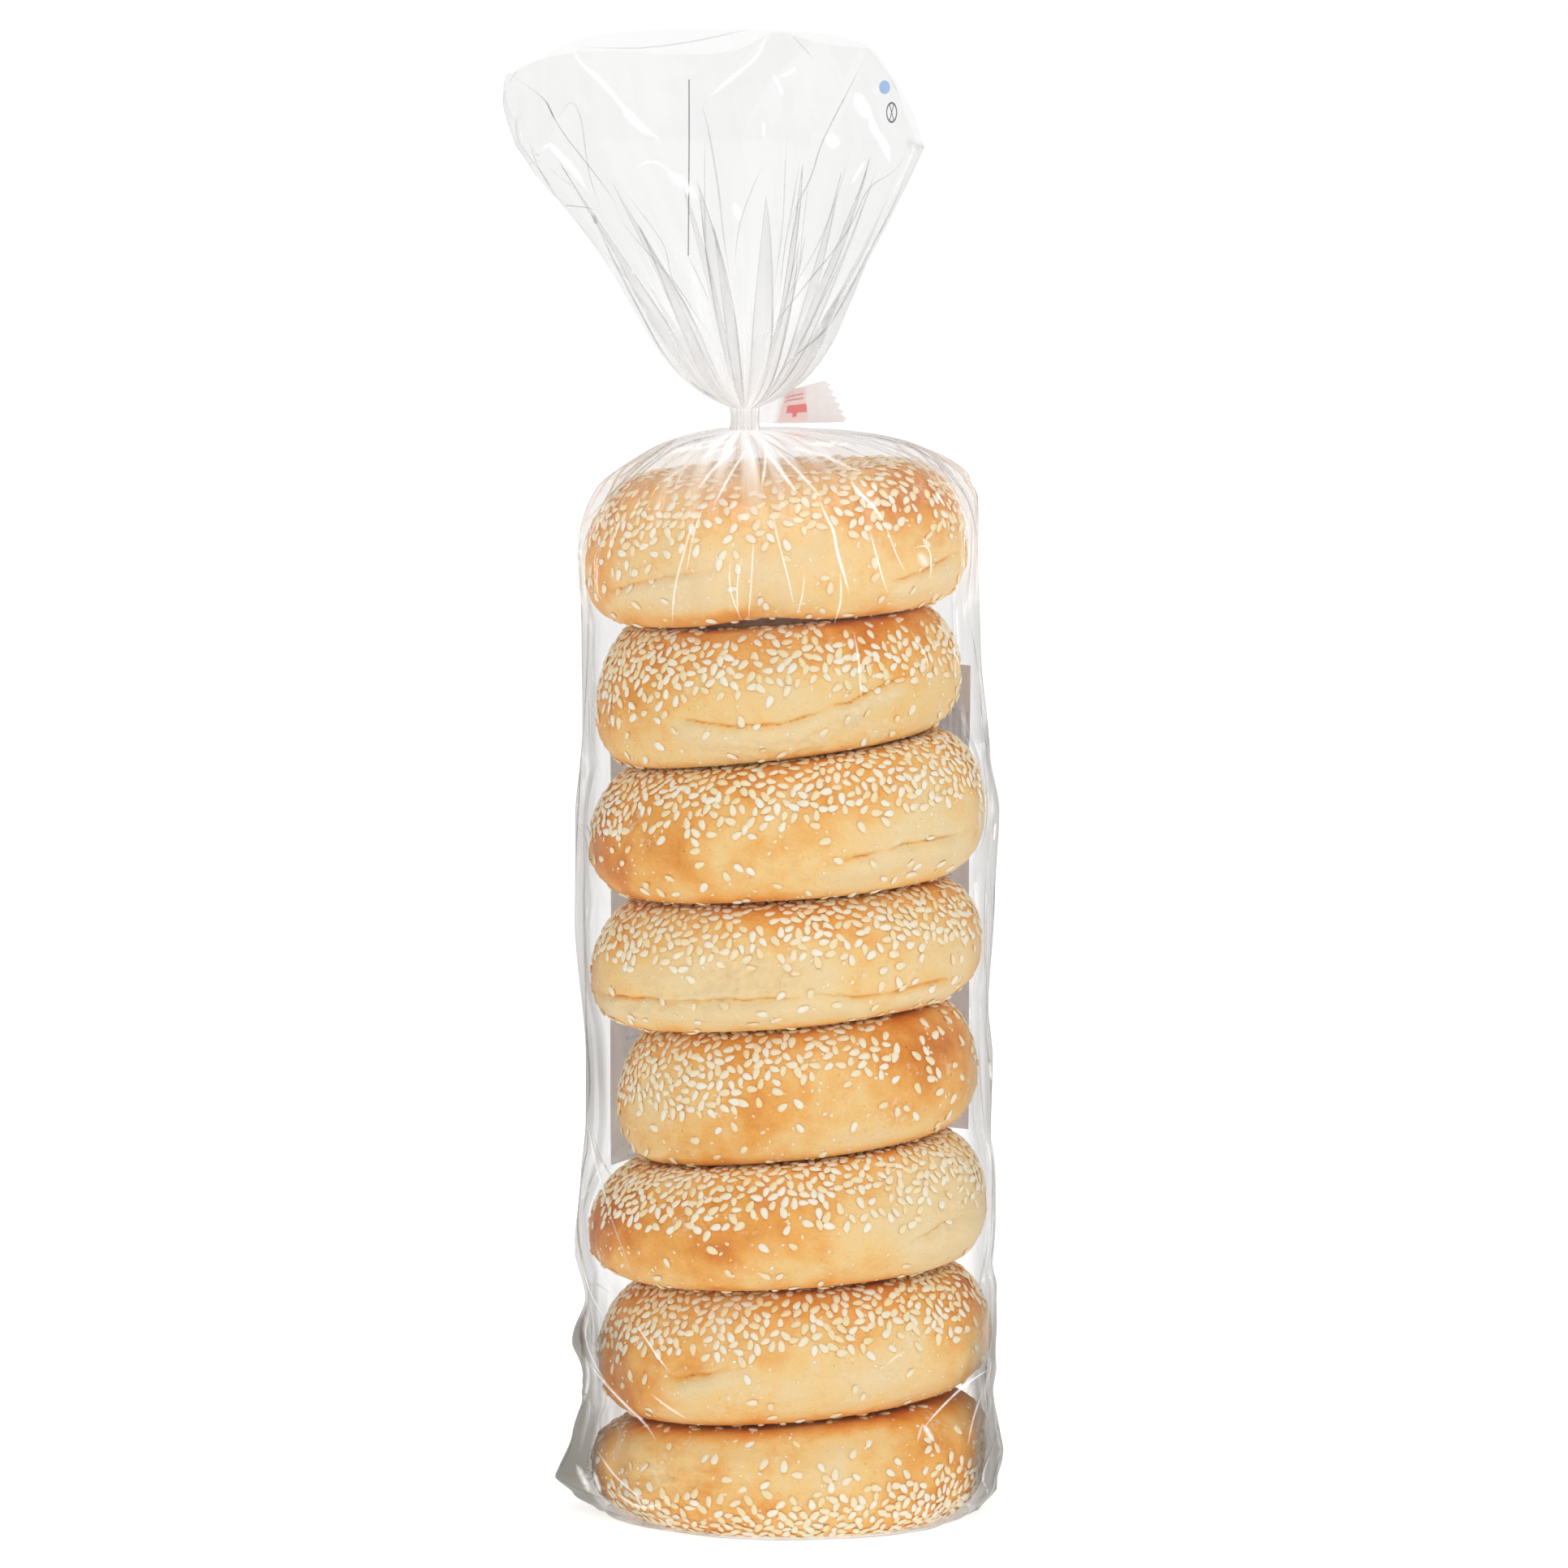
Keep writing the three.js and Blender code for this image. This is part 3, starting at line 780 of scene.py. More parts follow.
def sleeve_point(level, angle, proud=0.0):
    """A point of the film round the stack: on the circle round the bagels, or on the tangent from
    it to the side fold."""
    index, share, radius, shift = stack_at(level)
    side = -1 if math.cos(angle) < 0 else 1
    fold = on_line(LEFT_FOLD if side < 0 else RIGHT_FOLD, height_at(index, share, side * SIDE_X))
    hug = radius + FILM_EASE - BASE_CURL * max(0.0, 1 - level / 0.4) ** 2
    tangent = math.acos(min(1.0, hug / abs(fold - shift)))
    from_fold = math.asin(abs(math.sin(angle)))
    reach = hug / math.cos(max(0.0, tangent - from_fold)) + proud
    x = shift + reach * math.cos(angle)
    return Vector((x, reach * math.sin(angle), height_at(index, share, x)))


def sleeve_film(share, angle):
    """The sleeve's own creases: crumpled near the bottom, with faint upright ones at its sides."""
    level = share * RIM_LEVEL
    smooth = sleeve_point(level, angle)
    low = 1 - smoothstep(smooth.z, 16, 62)
    side = abs(math.cos(angle)) ** 3
    proud = low * (0.7 + 1.5 * side) * crumple(angle, smooth.z / 11, 14, 3)
    proud += low * 0.8 * side * crumple(angle, smooth.z / 5, 31, 5)
    proud += 0.32 * side * pleats(angle, 21, smooth.z / 55)
    proud += 0.12 * crumple(angle, smooth.z / 30, 9, 7)
    proud += smoothstep(smooth.z, 212, 254) * 0.30 * pleats(angle, 34, smooth.z / 40)
    if angle > math.pi:
        proud += crease_rise(SLEEVE_CREASES, smooth.x, smooth.z)
    return sleeve_point(level, angle, max(proud, -0.5))


def base_film(share, angle):
    """The film under the stack, drawn in to a seam that runs from side to side."""
    ring = sleeve_film(0, angle)
    seam = Vector((math.cos(angle) * BASE_RADIUS * 0.96, 0, 0.15))
    drawn_in = lerp(BASE_FRONT, BASE_RADIUS, abs(math.cos(angle)) ** 2)
    edge = Vector((ring.x, ring.y, 0)) * (drawn_in / max(1.0, math.hypot(ring.x, ring.y)))
    inner = seam.lerp(edge, min(1.0, share / 0.75))
    return inner.lerp(ring, smoothstep(share, 0.75, 1.0))


def shoulder_film(share, angle):
    """The dome over the top bagel, with creases that run together at the neck."""
    rim = sleeve_film(1, angle)
    around = share * math.pi / 2
    swell = math.sin(2 * around)
    power = SHOULDER_POWER + 0.45 * math.cos(angle)
    out = math.cos(around) ** (2 / power)
    up = math.sin(around) ** (2 / power)
    fold = 1 + 0.02 * swell * math.cos(10 * angle)
    fold += 0.02 * swell * pleats(angle, 23, 6.4 + share) + 0.018 * swell * pleats(angle, 51, 2 - share)
    fold += 0.04 * swell * crumple(angle, share * 4, 22, 11)
    gathered = NECK_RADIUS * (1 + 0.35 * pleats(angle, 17, 0.4) * smoothstep(share, 0.6, 1))
    place = Vector((
        lerp(NECK_X + gathered * math.cos(angle), rim.x, out * fold),
        lerp(gathered * math.sin(angle), rim.y, out * fold),
        lerp(rim.z, NECK_BASE, up) + 0.7 * swell * crumple(angle, share * 6, 26, 13),
    ))
    if angle > math.pi:
        place.y -= crease_rise(SLEEVE_CREASES, place.x, place.z)
    return place


def neck_film(share, angle):
    gathered = NECK_RADIUS * (1 + 0.35 * pleats(angle, 17, 0.4)) * (1 - 0.1 * math.sin(math.pi * share))
    return Vector((
        NECK_X + gathered * math.cos(angle),
        gathered * math.sin(angle),
        lerp(NECK_BASE, NECK_TOP, share),
    ))


def film_looks(part, share, place):
    """How milky the film is at a place, how tightly it is gathered into fine creases, and how
    white it is where it isn't clear. Milk that isn't white is grey, and grey milk is painted shade."""
    if part == "base":
        # The base is greyed with painted shade.
        return 0.12, 0.1, 0
    if part == "neck":
        return 1, 1, 1
    if part == "funnel":
        # Its milk turns greyer towards the mouth, as painted shade.
        haze_and_shade = 0.035 + 0.84 * math.exp(-share / 0.15)
        return haze_and_shade, 0.10 + 0.90 * math.exp(-share / 0.2), 0.94 - 0.5 * smoothstep(share, 0.18, 0.55)
    under_neck = math.exp(-(((place.x - NECK_X) / 17) ** 2))
    if part == "shoulder":
        haze_and_shade = 0.06 + 0.30 * share**2 + 0.60 * under_neck * smoothstep(share, 0.1, 0.6)
        gather = 0.4 + 0.6 * share
    else:
        # Grey milk on the sleeve is painted shade: in its folded corners at the bottom, in the gaps
        # beside the bagels, at the sides about 112 mm up and over the lower left.
        ear = smoothstep(abs(place.x + 1), 45, 56) * (1 - smoothstep(place.z, 25, 72))
        gap = smoothstep(abs(place.x), 46, 54)
        painted_shade = 0.38 * smoothstep(-place.x, 43, 50) + 0.16 * smoothstep(place.x, 43, 50)
        painted_shade *= math.exp(-(((place.z - 112) / 18) ** 2))
        painted_shade += 0.26 * smoothstep(-place.x, 32, 50) * (1 - smoothstep(place.z, 42, 64))
        high = smoothstep(place.z, 205, 254)
        haze_and_shade = 0.01 + 0.90 * ear + 0.17 * gap + painted_shade + (0.03 + 0.10 * under_neck) * high
        gather = 0.10 + 0.08 * gap + 0.32 * high
    return haze_and_shade, gather, smoothstep(gather, 0.2, 0.55)


ONE_LAYER = (0.964, 0.964, 0.963, 1)  # what one layer of clear film lets through

clear_film, start = new_material("clear_film")
place = start.place()
lay = start.stored("lay", "Vector")  # round the bag, and along it
haze_and_shade = start.stored("haze_and_shade")
gather = start.stored("gather")
white = start.stored("white")
wide_lines = 1 - abs(lay.noise(9.0, 1.0, stretch=(1, 1, 0.07)) - 0.5) * 26
fine_lines = 1 - abs(lay.noise(3.4, 1.0, stretch=(1, 1, 0.05)) - 0.5) * 16
lines = (wide_lines.clamped() + fine_lines.clamped() * 0.6) * gather
ripple = place.noise(16.0, 2.0)
height = ripple + lines * 0.22
bumped = start.node("Bump", {"Height": height, "Distance": 1.4 * MM, "Strength": 0.35})
facing = start.node("LayerWeight", {"Blend": 0.5, "Normal": bumped}, out="Facing")
edge = 0.04 + facing**6.5 * 0.96  # what clear plastic reflects, alike from outside and inside
streaks = lay.noise(5.0, 3.0, stretch=(1, 1, 0.06)).between(0.35, 0.68)
milk_and_shade = (haze_and_shade * (0.35 + streaks * 0.9)).clamped()
above_tape = place.xyz()[2].between(0.278, 0.300)
shine = edge * (1.3 - above_tape * 0.45)
cover = (shine + milk_and_shade + lines * 0.05).clamped()
at_neck = place.xyz()[2].between(0.270, 0.277)
pale = at_neck.mix(paint(252, 237, 219), paint(255, 254, 253))
# Where white is 0 the milk is painted grey, as shade.
tint = white.mix(paint(128, 123, 114), pale)
sockets = {"Base Color": tint, "Metallic": shine / (shine + milk_and_shade + 0.001), "Normal": bumped}
# The milky film glows a little: painted light, as if light came through it from all round.
glow = {"Emission Color": milk_and_shade.mix((0, 0, 0, 1), tint), "Emission Strength": 0.16}
bsdf = start.node("BsdfPrincipled", {**sockets, **glow, "Roughness": 0.12 + milk_and_shade * 0.35})
start.shows(bsdf, cover, clear=ONE_LAYER)

LAY_RADIUS = 50


def wrapped_film(name, columns, stations, maker):
    """Wraps a grid round the Z axis, a row for each station, and moves its vertices into place.
    A station is a part of the bag, the share of the way up it, and the film's length so far."""
    bm = bmesh.new()
    haze_and_shade_layer = bm.verts.layers.float.new("haze_and_shade")
    gather_layer = bm.verts.layers.float.new("gather")
    white_layer = bm.verts.layers.float.new("white")
    lay_layer = bm.verts.layers.float_vector.new("lay")
    rows = len(stations) - 1
    bmesh.ops.create_grid(bm, x_segments=columns, y_segments=rows, size=0.5)
    for vertex in bm.verts:
        column = column_of(vertex.co.x, columns)
        part, share, along = stations[round((vertex.co.y + 0.5) * rows)]
        angle = 2 * math.pi * column / columns
        angle = (angle - FRONT_EASE * 0.7 * math.cos(angle)) % (2 * math.pi)
        vertex.co = maker(part, share, angle, column)
        looks = film_looks(part, share, vertex.co)
        vertex[haze_and_shade_layer], vertex[gather_layer], vertex[white_layer] = looks
        around = Vector((math.cos(angle) * LAY_RADIUS, math.sin(angle) * LAY_RADIUS, along))
        vertex[lay_layer] = around * MM
    bmesh.ops.remove_doubles(bm, verts=bm.verts, dist=1e-4)
    bmesh.ops.recalc_face_normals(bm, faces=bm.faces)
    if sum(face.normal.x * face.calc_center_median().x for face in bm.faces) < 0:
        bmesh.ops.reverse_faces(bm, faces=bm.faces)
    made = new_object(bm, name, clear_film)
    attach(made, "root")
    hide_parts("bag")
    return made


FILM_PARTS = {
    "base": (base_film, BASE_ROWS, 40),
    "sleeve": (sleeve_film, SLEEVE_ROWS, 250),
    "shoulder": (shoulder_film, SHOULDER_ROWS, 50),
    "neck": (neck_film, NECK_ROWS, 6),
}
stations = []
length = 0
for part, (maker, rows, long) in FILM_PARTS.items():
    stations += [(part, i / rows, length + long * i / rows) for i in range(rows)]
    length += long
stations.append(("neck", 1.0, length))
film = wrapped_film(
    "bag_film", AROUND, stations,
    lambda part, share, angle, _: FILM_PARTS[part][0](share, angle),
)


# The bag's open mouth. Above the tape the same film flares to a flattened funnel. Knife pleats
# run up from the neck, where the film lies over itself in three layers, and die out one by one.
# The mouth's front is drawn in along a deep fold, its left side is crumpled and its lip is toothed.
MOUTH_AROUND, MOUTH_ROWS = 440, 150
FUNNEL_TOP, FUNNEL_FOOT, FUNNEL_SPREAD, FUNNEL_WIDEST = 381, 10, 60, 52
FUNNEL_WIDEST_AT, FUNNEL_ROUNDING, FUNNEL_KNEE = 0.72, 95, 0.035
FUNNEL_FLATNESS, FLAT_FROM, FUNNEL_LEAN = 0.62, 0.25, 12
RIM_RISES = (
    # angle, rise and spread
    (0, -5, 0.7), (math.pi, -11, 0.7), (-math.pi / 2, -5.5, 0.8), (-1.1, 4.0, 0.22),
)
RIGHT_CUT, CUT_FROM, CUT_TO = 24, 0.42, 0.20  # the mouth's right corner hangs this far lower
KNIFE_PLEATS = (
    # x and z where the pleat dies out, its half width on the film, and how far it folds over
    (-51, 356, 0.085, 0.15), (-40, 336, 0.07, 0.10), (-31, 364, 0.08, 0.10), (-21, 344, 0.07, 0.12),
    (-6, 353, 0.10, 0.17), (1, 366, 0.05, 0.07), (6, 338, 0.05, 0.10), (14, 360, 0.07, 0.11),
    (17, 374, 0.06, 0.06), (29, 348, 0.08, 0.15),
)
BACK_PLEATS = (
    # angle and level where the pleat dies out, its half width, and how far it folds over
    (0.30, 0.62, 0.08, 0.16), (0.72, 0.80, 0.08, 0.14), (1.10, 0.55, 0.07, 0.12),
    (1.75, 0.70, 0.09, 0.20), (2.25, 0.58, 0.08, 0.14), (2.70, 0.75, 0.08, 0.15),
)
LAYER_GAP = 0.25
# The deep fold's bottom and its two edges, each as [z, x], and how far back it goes.
DEEP_FOLD = ((318, -19), (357, -18), (364, -19.5), (371, -12), (382, -3))
DEEP_FOLD_LEFT = ((318, -24), (338, -25), (357, -35), (378, -56))
DEEP_FOLD_RIGHT = ((318, -14), (357, -11), (366, -6), (382, 8))
DEEP_FOLD_DEPTH = 15
MOUTH_CREASES = (
    # points [x, z], width, and how far it stands out
    (((-71, 369), (-62, 363), (-59, 357), (-52, 345)), 3.5, -1.6),
    (((-62, 352), (-54, 364), (-51, 360), (-48, 345)), 3.0, 1.5),
    (((-68, 346), (-62, 349), (-50, 339), (-43, 332)), 3.0, 1.6),
    (((-64, 337), (-55, 338), (-47, 336)), 2.6, -1.4),
    (((-66, 358), (-63, 347), (-60, 340)), 2.6, 1.2),
    (((21, 376), (7, 345), (1, 334)), 2.6, 1.2),
    (((32, 343), (23, 337), (8, 318)), 2.8, 1.1),
    (((-1, 366), (-3, 355), (-9, 345)), 2.6, 0.9),
    (((24, 366), (31, 352), (32, 342)), 2.6, 0.9),
    (((6, 366), (9, 356), (5, 348)), 2.4, 0.7),
)


def funnel_half_width(level):
    straight = FUNNEL_FOOT + FUNNEL_SPREAD * level
    belly = FUNNEL_WIDEST - FUNNEL_ROUNDING * (level - FUNNEL_WIDEST_AT) ** 2
    open_width = straight if level < 0.5 else min(straight, belly)
    return lerp(NECK_RADIUS, open_width, 1 - math.exp(-level / FUNNEL_KNEE))


def funnel_middle(level):
    return NECK_X - FUNNEL_LEAN * level**2


def funnel_level(z):
    return (z - NECK_TOP) / (FUNNEL_TOP - NECK_TOP)


pleat_folds = list(BACK_PLEATS)
for x, z, half_zone, over in KNIFE_PLEATS:
    level = funnel_level(z)
    across = (x - funnel_middle(level)) / funnel_half_width(level)
    pleat_folds.append((-math.acos(across), level, half_zone, over))


def zigzag(share):
    """Forward, back over itself and forward again, as share goes from -1 to 1."""
    if abs(share) < 1 / 3:
        return -3 * share
    return 1.5 * (share + 1) if share < 0 else 1.5 * (share - 1)


def funnel_film(share, angle, column):
    """A point of the funnel. Its angle on the film is turned where pleats fold the film over."""
    rim_z = FUNNEL_TOP + sum(rise * bump(angle, middle, spread) for middle, rise, spread in RIM_RISES)
    rim_z -= RIGHT_CUT * (1 - smoothstep(abs(apart(angle, 0)), CUT_TO, CUT_FROM))
    if share == 1 and column % 2:
        rim_z -= 0.9 * bump(angle, -0.2, 0.4)
    z = lerp(NECK_TOP, rim_z, share)
    level = funnel_level(z)
    turned, layer = angle, 0
    for middle, dies, half_zone, over in pleat_folds:
        away = apart(angle, middle) / half_zone
        if abs(away) < 1 and level < dies:
            tightness = (1 - (level / dies) ** 1.6) ** 1.3
            turned += over * tightness * zigzag(away)
            layer -= LAYER_GAP * away * smoothstep(1 - abs(away), 0, 0.4) * min(1.0, 6 * tightness)
    half = funnel_half_width(level)
    flatness = lerp(1, FUNNEL_FLATNESS, smoothstep(level, 0, FLAT_FROM))
    fold = 1 + 0.03 * level * math.cos(5 * angle + 2)
    fold += lerp(0.20, 0.0, smoothstep(level, 0, 0.45)) * pleats(turned, 17, 0.4 + level * 2)
    fold += 0.020 * smoothstep(level, 0.1, 0.3) * crumple(angle, level * 4, 11, 17)
    left = bump(angle, math.pi, 0.55) * smoothstep(level, 0.42, 0.6)
    fold += 0.035 * left * crumple(angle, level * 11, 30, 19)
    reach = half * fold + layer
    x = funnel_middle(level) + reach * math.cos(turned)
    y = reach * flatness * math.sin(turned)
    if math.sin(turned) < 0:
        bottom, left_edge = on_line(DEEP_FOLD, z), on_line(DEEP_FOLD_LEFT, z)
        right_edge = on_line(DEEP_FOLD_RIGHT, z)
        edge = left_edge if x < bottom else right_edge
        inward = max(0.0, 1 - abs(x - bottom) / abs(edge - bottom))
        y += DEEP_FOLD_DEPTH * smoothstep(z, 318, 372) * inward
        y -= crease_rise(MOUTH_CREASES, x, z)
    return Vector((x, y, z))


mouth_stations = []
for i in range(MOUTH_ROWS + 1):
    share = (i / MOUTH_ROWS) ** 1.2
    mouth_stations.append(("funnel", share, length + 100 * share))
mouth = wrapped_film(
    "mouth_film", MOUTH_AROUND, mouth_stations,
    lambda _, share, angle, column: funnel_film(share, angle, column),
)


# Painted highlights and painted shade along creases in the film. Each is a thin strip laid on the
# film, soft at its edges, white and glowing a little where it is a painted highlight and grey where
# it is painted shade. A place is [x, z] on the plane y = 0, as it is seen from the camera, and those
# below the tape are on the back too.
CREASE_RAISE = 0.15
CREASE_STEP = 0.9
CREASE_STRETCH = 3.5  # a longer edge spans a gap between two layers of film
PAINTED_CREASE_LINES = (
    # width, whiteness, strength and places
    (1.6, 1, 0.8, (
        (-54.5, 377), (-53.5, 373.5), (-47.5, 368.5), (-42.5, 362.5), (-38, 357.5), (-32, 353),
    )),
    (3, 1, 0.5, ((-42.5, 362.5), (-39, 358), (-34, 354))),
    (1.3, 1, 0.8, ((-5, 381.5), (-5.5, 378.5), (-8, 374), (-11.5, 371), (-16.5, 367), (-20, 364))),
    (1, 1, 0.9, ((-4, 370.5), (-2.5, 368), (-1, 364))),
    (1.3, 1, 0.8, ((-2, 369.5), (0.5, 370), (2.5, 372))),
    (4, 1, 0.7, ((17.5, 365.5), (19, 361.5), (21.5, 358.5))),
    (2.4, 1, 0.9, ((21, 360.5), (22, 356), (25, 352), (26, 347.5))),
    (4, 1, 0.8, ((10, 354.5), (12, 352.5), (13.5, 352))),
    (3, 1, 0.6, ((-30.5, 345), (-26, 342), (-23, 338))),
    (2, 1, 0.8, ((-62.5, 350.5), (-60.5, 352.5), (-58.5, 350), (-55, 346.5), (-51, 340.5))),
    (2.4, 1, 0.6, ((-13.5, 337.5), (-12, 332.5))),
    (1.2, 1, 0.6, ((20, 348), (18, 345), (16.5, 342))),
    (1, 1, 0.4, ((-39, 346), (-34, 348.5), (-28.5, 344))),
    (1, 1, 0.6, ((-6, 353.5), (-6, 358))),
    (0.8, 1, 0.7, ((-24.5, 320.5), (-23.5, 317), (-22.5, 315.5))),
    (0.45, 0, 0.55, (
        (-70.5, 370), (-65.5, 366.5), (-61.5, 363.5), (-59, 358), (-56, 353.5), (-52, 348.5),
        (-47, 342), (-42.5, 335.5),
    )),
    (0.6, 0, 0.7, ((-61.5, 363.5), (-59, 358))),
    (0.45, 0, 0.4, (
        (-59, 358), (-55, 364), (-52.5, 359.5), (-51.5, 352), (-50.5, 344), (-47, 334.5),
    )),
    (0.5, 0, 0.6, ((-69.5, 353), (-70, 346), (-67.5, 346.5), (-63, 348))),
    (0.5, 0, 0.55, ((-69.5, 346), (-64, 338), (-62, 337), (-49.5, 336), (-47, 334.5))),
    (0.4, 0, 0.4, ((-66, 353.5), (-63, 345), (-59, 339.5))),
    (0.7, 0, 0.55, (
        (-50, 335), (-47, 328.5), (-42.5, 319), (-37, 308.5), (-32, 299), (-26, 292),
    )),
    (0.4, 0, 0.4, ((-44, 334.5), (-36.5, 325.5), (-28.5, 317), (-23.5, 309), (-18.5, 302))),
    (0.4, 0, 0.4, ((-42.5, 341.5), (-35.5, 332.5), (-30.5, 325.5), (-30, 318), (-23.5, 310))),
    (0.4, 0, 0.4, ((-25.5, 324.5), (-22, 317), (-19, 310))),
    (0.7, 0, 0.35, (
        (-18.5, 364), (-22, 362), (-20.5, 358.5), (-17.5, 341.5), (-16.5, 331), (-14.5, 317),
    )),
    (0.4, 0, 0.4, ((-21, 354.5), (-21, 331), (-20.5, 320.5))),
    (0.45, 0, 0.4, ((-5.5, 348.5), (-9.5, 339.5), (-12.5, 331), (-13.5, 320.5))),
    (0.4, 0, 0.4, ((0, 356), (-0.5, 346.5), (-1, 331), (-3.5, 314.5))),
    (0.4, 0, 0.45, ((3.5, 349.5), (1, 334.5), (-1, 324), (-2, 311))),
    (0.5, 0, 0.6, (
        (20, 374.5), (17, 368.5), (12, 359), (8.5, 352), (6, 343), (2.5, 337), (0.5, 331),
    )),
    (0.4, 0, 0.4, ((16, 350), (12.5, 338), (8.5, 327.5), (2.5, 317), (-1, 312))),
    (0.5, 0, 0.5, (
        (32, 352), (27.5, 345), (20.5, 341.5), (17, 332.5), (12, 325), (6, 318), (-1, 309),
        (-5.5, 303),
    )),
    (0.6, 0, 0.6, (
        (32, 349), (28, 338), (20.5, 324), (14.5, 312), (9.5, 304), (1.5, 298), (-5, 290),
    )),
    (0.35, 0, 0.4, ((5.5, 343), (4, 331), (3, 320.5))),
    (1.6, 0, 0.5, ((-49.5, 334.5), (-48.5, 331.5))),
    (0.6, 0, 0.3, (
        (-54.5, 377), (-46, 376.5), (-35.5, 376.5), (-22, 378.5), (-11.5, 381), (-5, 382),
    )),
    (0.5, 0, 0.3, ((-1, 382), (3, 378), (7, 373.5))),
    (0.6, 0, 0.5, ((-26.5, 293), (-22, 289.5), (-17.5, 287))),
    (1, 1, 0.95, (
        (8, 262), (10, 257), (12, 253.5), (12.5, 249.5), (13.5, 245.5), (14.5, 242.5),
        (16, 237),
    )),
    (1.2, 1, 0.95, ((16, 267), (18, 263.5), (21.5, 260.5), (25, 255.5))),
    (0.6, 1, 0.7, ((21, 254), (23, 246.5), (24.5, 241), (26, 237))),
    (0.6, 1, 0.6, ((25, 255.5), (28, 247), (30.5, 242.5))),
    (0.6, 1, 0.7, ((32, 249), (36.5, 250), (37, 243), (36, 240.5))),
    (3.2, 1, 0.5, ((33.5, 248), (36, 244))),
    (0.6, 1, 0.6, ((-4, 259.5), (-2.5, 251.5), (0, 242.5), (2, 233))),
    (0.5, 1, 0.6, ((-14.5, 246.5), (-15, 238.5), (-11.5, 230))),
    (0.5, 1, 0.6, ((-11.5, 247), (-13, 239.5), (-12.5, 231))),
    (0.6, 1, 0.5, ((-8.5, 253), (-9, 243), (-10, 229.5))),
    (0.6, 1, 0.5, ((4.5, 243), (4, 237), (2.5, 231.5))),
    (0.7, 1, 0.5, ((-23, 259.5), (-26, 249.5), (-29, 238.5), (-29.5, 228))),
    (0.5, 1, 0.5, ((-20.5, 262), (-24, 253), (-26, 241.5))),
    (0.7, 1, 0.6, ((13.5, 243), (14, 235.5), (12, 229.5))),
    (0.8, 1, 0.5, ((17, 228), (18.5, 219.5), (19, 209.5))),
    (0.6, 1, 0.45, ((31.5, 228), (36, 221), (36, 216.5))),
    (0.5, 0.3, 0.45, ((-38, 249.5), (-40, 242.5), (-41.5, 234.5))),
    (0.8, 1, 0.8, ((38, 263.5), (40.5, 259.5))),
    (0.6, 1, 0.6, ((41, 266), (44, 261), (47, 253))),
    (1.6, 1, 0.8, ((-32, 273.5), (-24.5, 274.5), (-14, 276.5))),
    (2, 1, 0.8, ((4, 276), (12, 275.5), (19.5, 276.5))),
    (1.4, 1, 0.8, ((-11.5, 276), (-17.5, 271), (-23, 264))),
    (1, 1, 0.7, ((-10, 275), (-14.5, 268), (-19, 259.5))),
    (1.4, 1, 0.8, ((-7, 276), (-2.5, 270), (3, 262.5))),
    (1, 1, 0.7, ((-5.5, 276), (-5.5, 271), (-6.5, 264.5))),
    (1, 1, 0.6, ((-3, 274.5), (4.5, 267), (9.5, 261))),
    (1, 1, 0.6, ((-13, 276), (-24, 271.5), (-34, 264.5))),
    (1.4, 1, 0.6, ((0, 275), (9, 273), (18.5, 268.5))),
    (0.8, 1, 0.5, ((-14.5, 277.5), (-26, 275), (-36.5, 270))),
    (0.6, 0, 0.6, ((-15, 281), (-21, 280), (-26, 278.5), (-36, 272), (-45, 263), (-53, 254))),
    (0.5, 0, 0.5, ((-14.5, 278.5), (-25.5, 276.5), (-34, 271.5), (-43, 262))),
    (1.6, 0, 0.5, ((-14.5, 279.5), (-20.5, 278), (-24, 276))),
    (1.2, 0, 0.5, ((-15.5, 280.5), (-19, 279), (-21, 279))),
    (0.4, 0, 0.5, ((-29, 276), (-38, 268.5), (-48, 258.5))),
    (0.4, 0, 0.35, ((-17.5, 274.5), (-29, 268.5), (-38.5, 260.5))),
    (0.5, 0, 0.5, ((14.5, 278.5), (24, 277.5), (33, 274.5), (40.5, 270), (45, 263))),
    (0.4, 0, 0.35, ((22, 278), (33, 270.5), (40.5, 260.5))),
    (0.4, 0, 0.35, ((6, 277.5), (19, 273.5), (31, 266.5))),
    (0.5, 0, 0.55, ((19, 279), (30, 276.5), (41, 269), (47, 260.5), (49, 249.5))),
    (2.2, 0, 0.5, ((-7, 279.5), (-4, 278.5), (0, 278.5))),
    (0.6, 0, 0.35, ((-6, 277), (-2, 274.5), (4, 271))),
    (0.4, 0, 0.35, ((-8, 275), (-6.5, 269.5), (-7, 264))),
    (0.45, 0, 0.7, ((-53.5, 249.5), (-52.5, 232.5), (-53, 223))),
    (0.4, 0, 0.5, ((-51, 240), (-51, 223.5), (-52.5, 197))),
    (0.45, 0, 0.65, ((49, 246), (49.5, 228), (51, 213.5), (51.5, 197))),
    (0.4, 0, 0.45, ((47, 229.5), (49, 218), (50.5, 199.5))),
    (0.45, 0, 0.65, ((-52.5, 206.5), (-53, 192), (-54, 176), (-54.5, 159))),
    (0.4, 0, 0.5, ((-51.5, 174.5), (-52.5, 161.5), (-52, 141.5), (-51.5, 121.5))),
    (0.4, 0, 0.5, ((-53.5, 177.5), (-51.5, 174.5), (-50.5, 166))),
    (0.45, 0, 0.65, ((50.5, 206.5), (52.5, 193.5), (55, 182), (53.5, 166), (53, 148.5), (52.5, 123.5))),
    (0.4, 0, 0.45, ((50, 198), (51.5, 185), (51, 176), (49, 169))),
    (0.4, 0, 0.4, ((51.5, 166), (51, 148.5), (51.5, 127))),
    (0.9, 1, 0.7, ((53.5, 179), (53, 173.5))),
    (0.45, 0, 0.6, ((-52, 133), (-51.5, 121.5), (-50.5, 109.5), (-52, 101.5))),
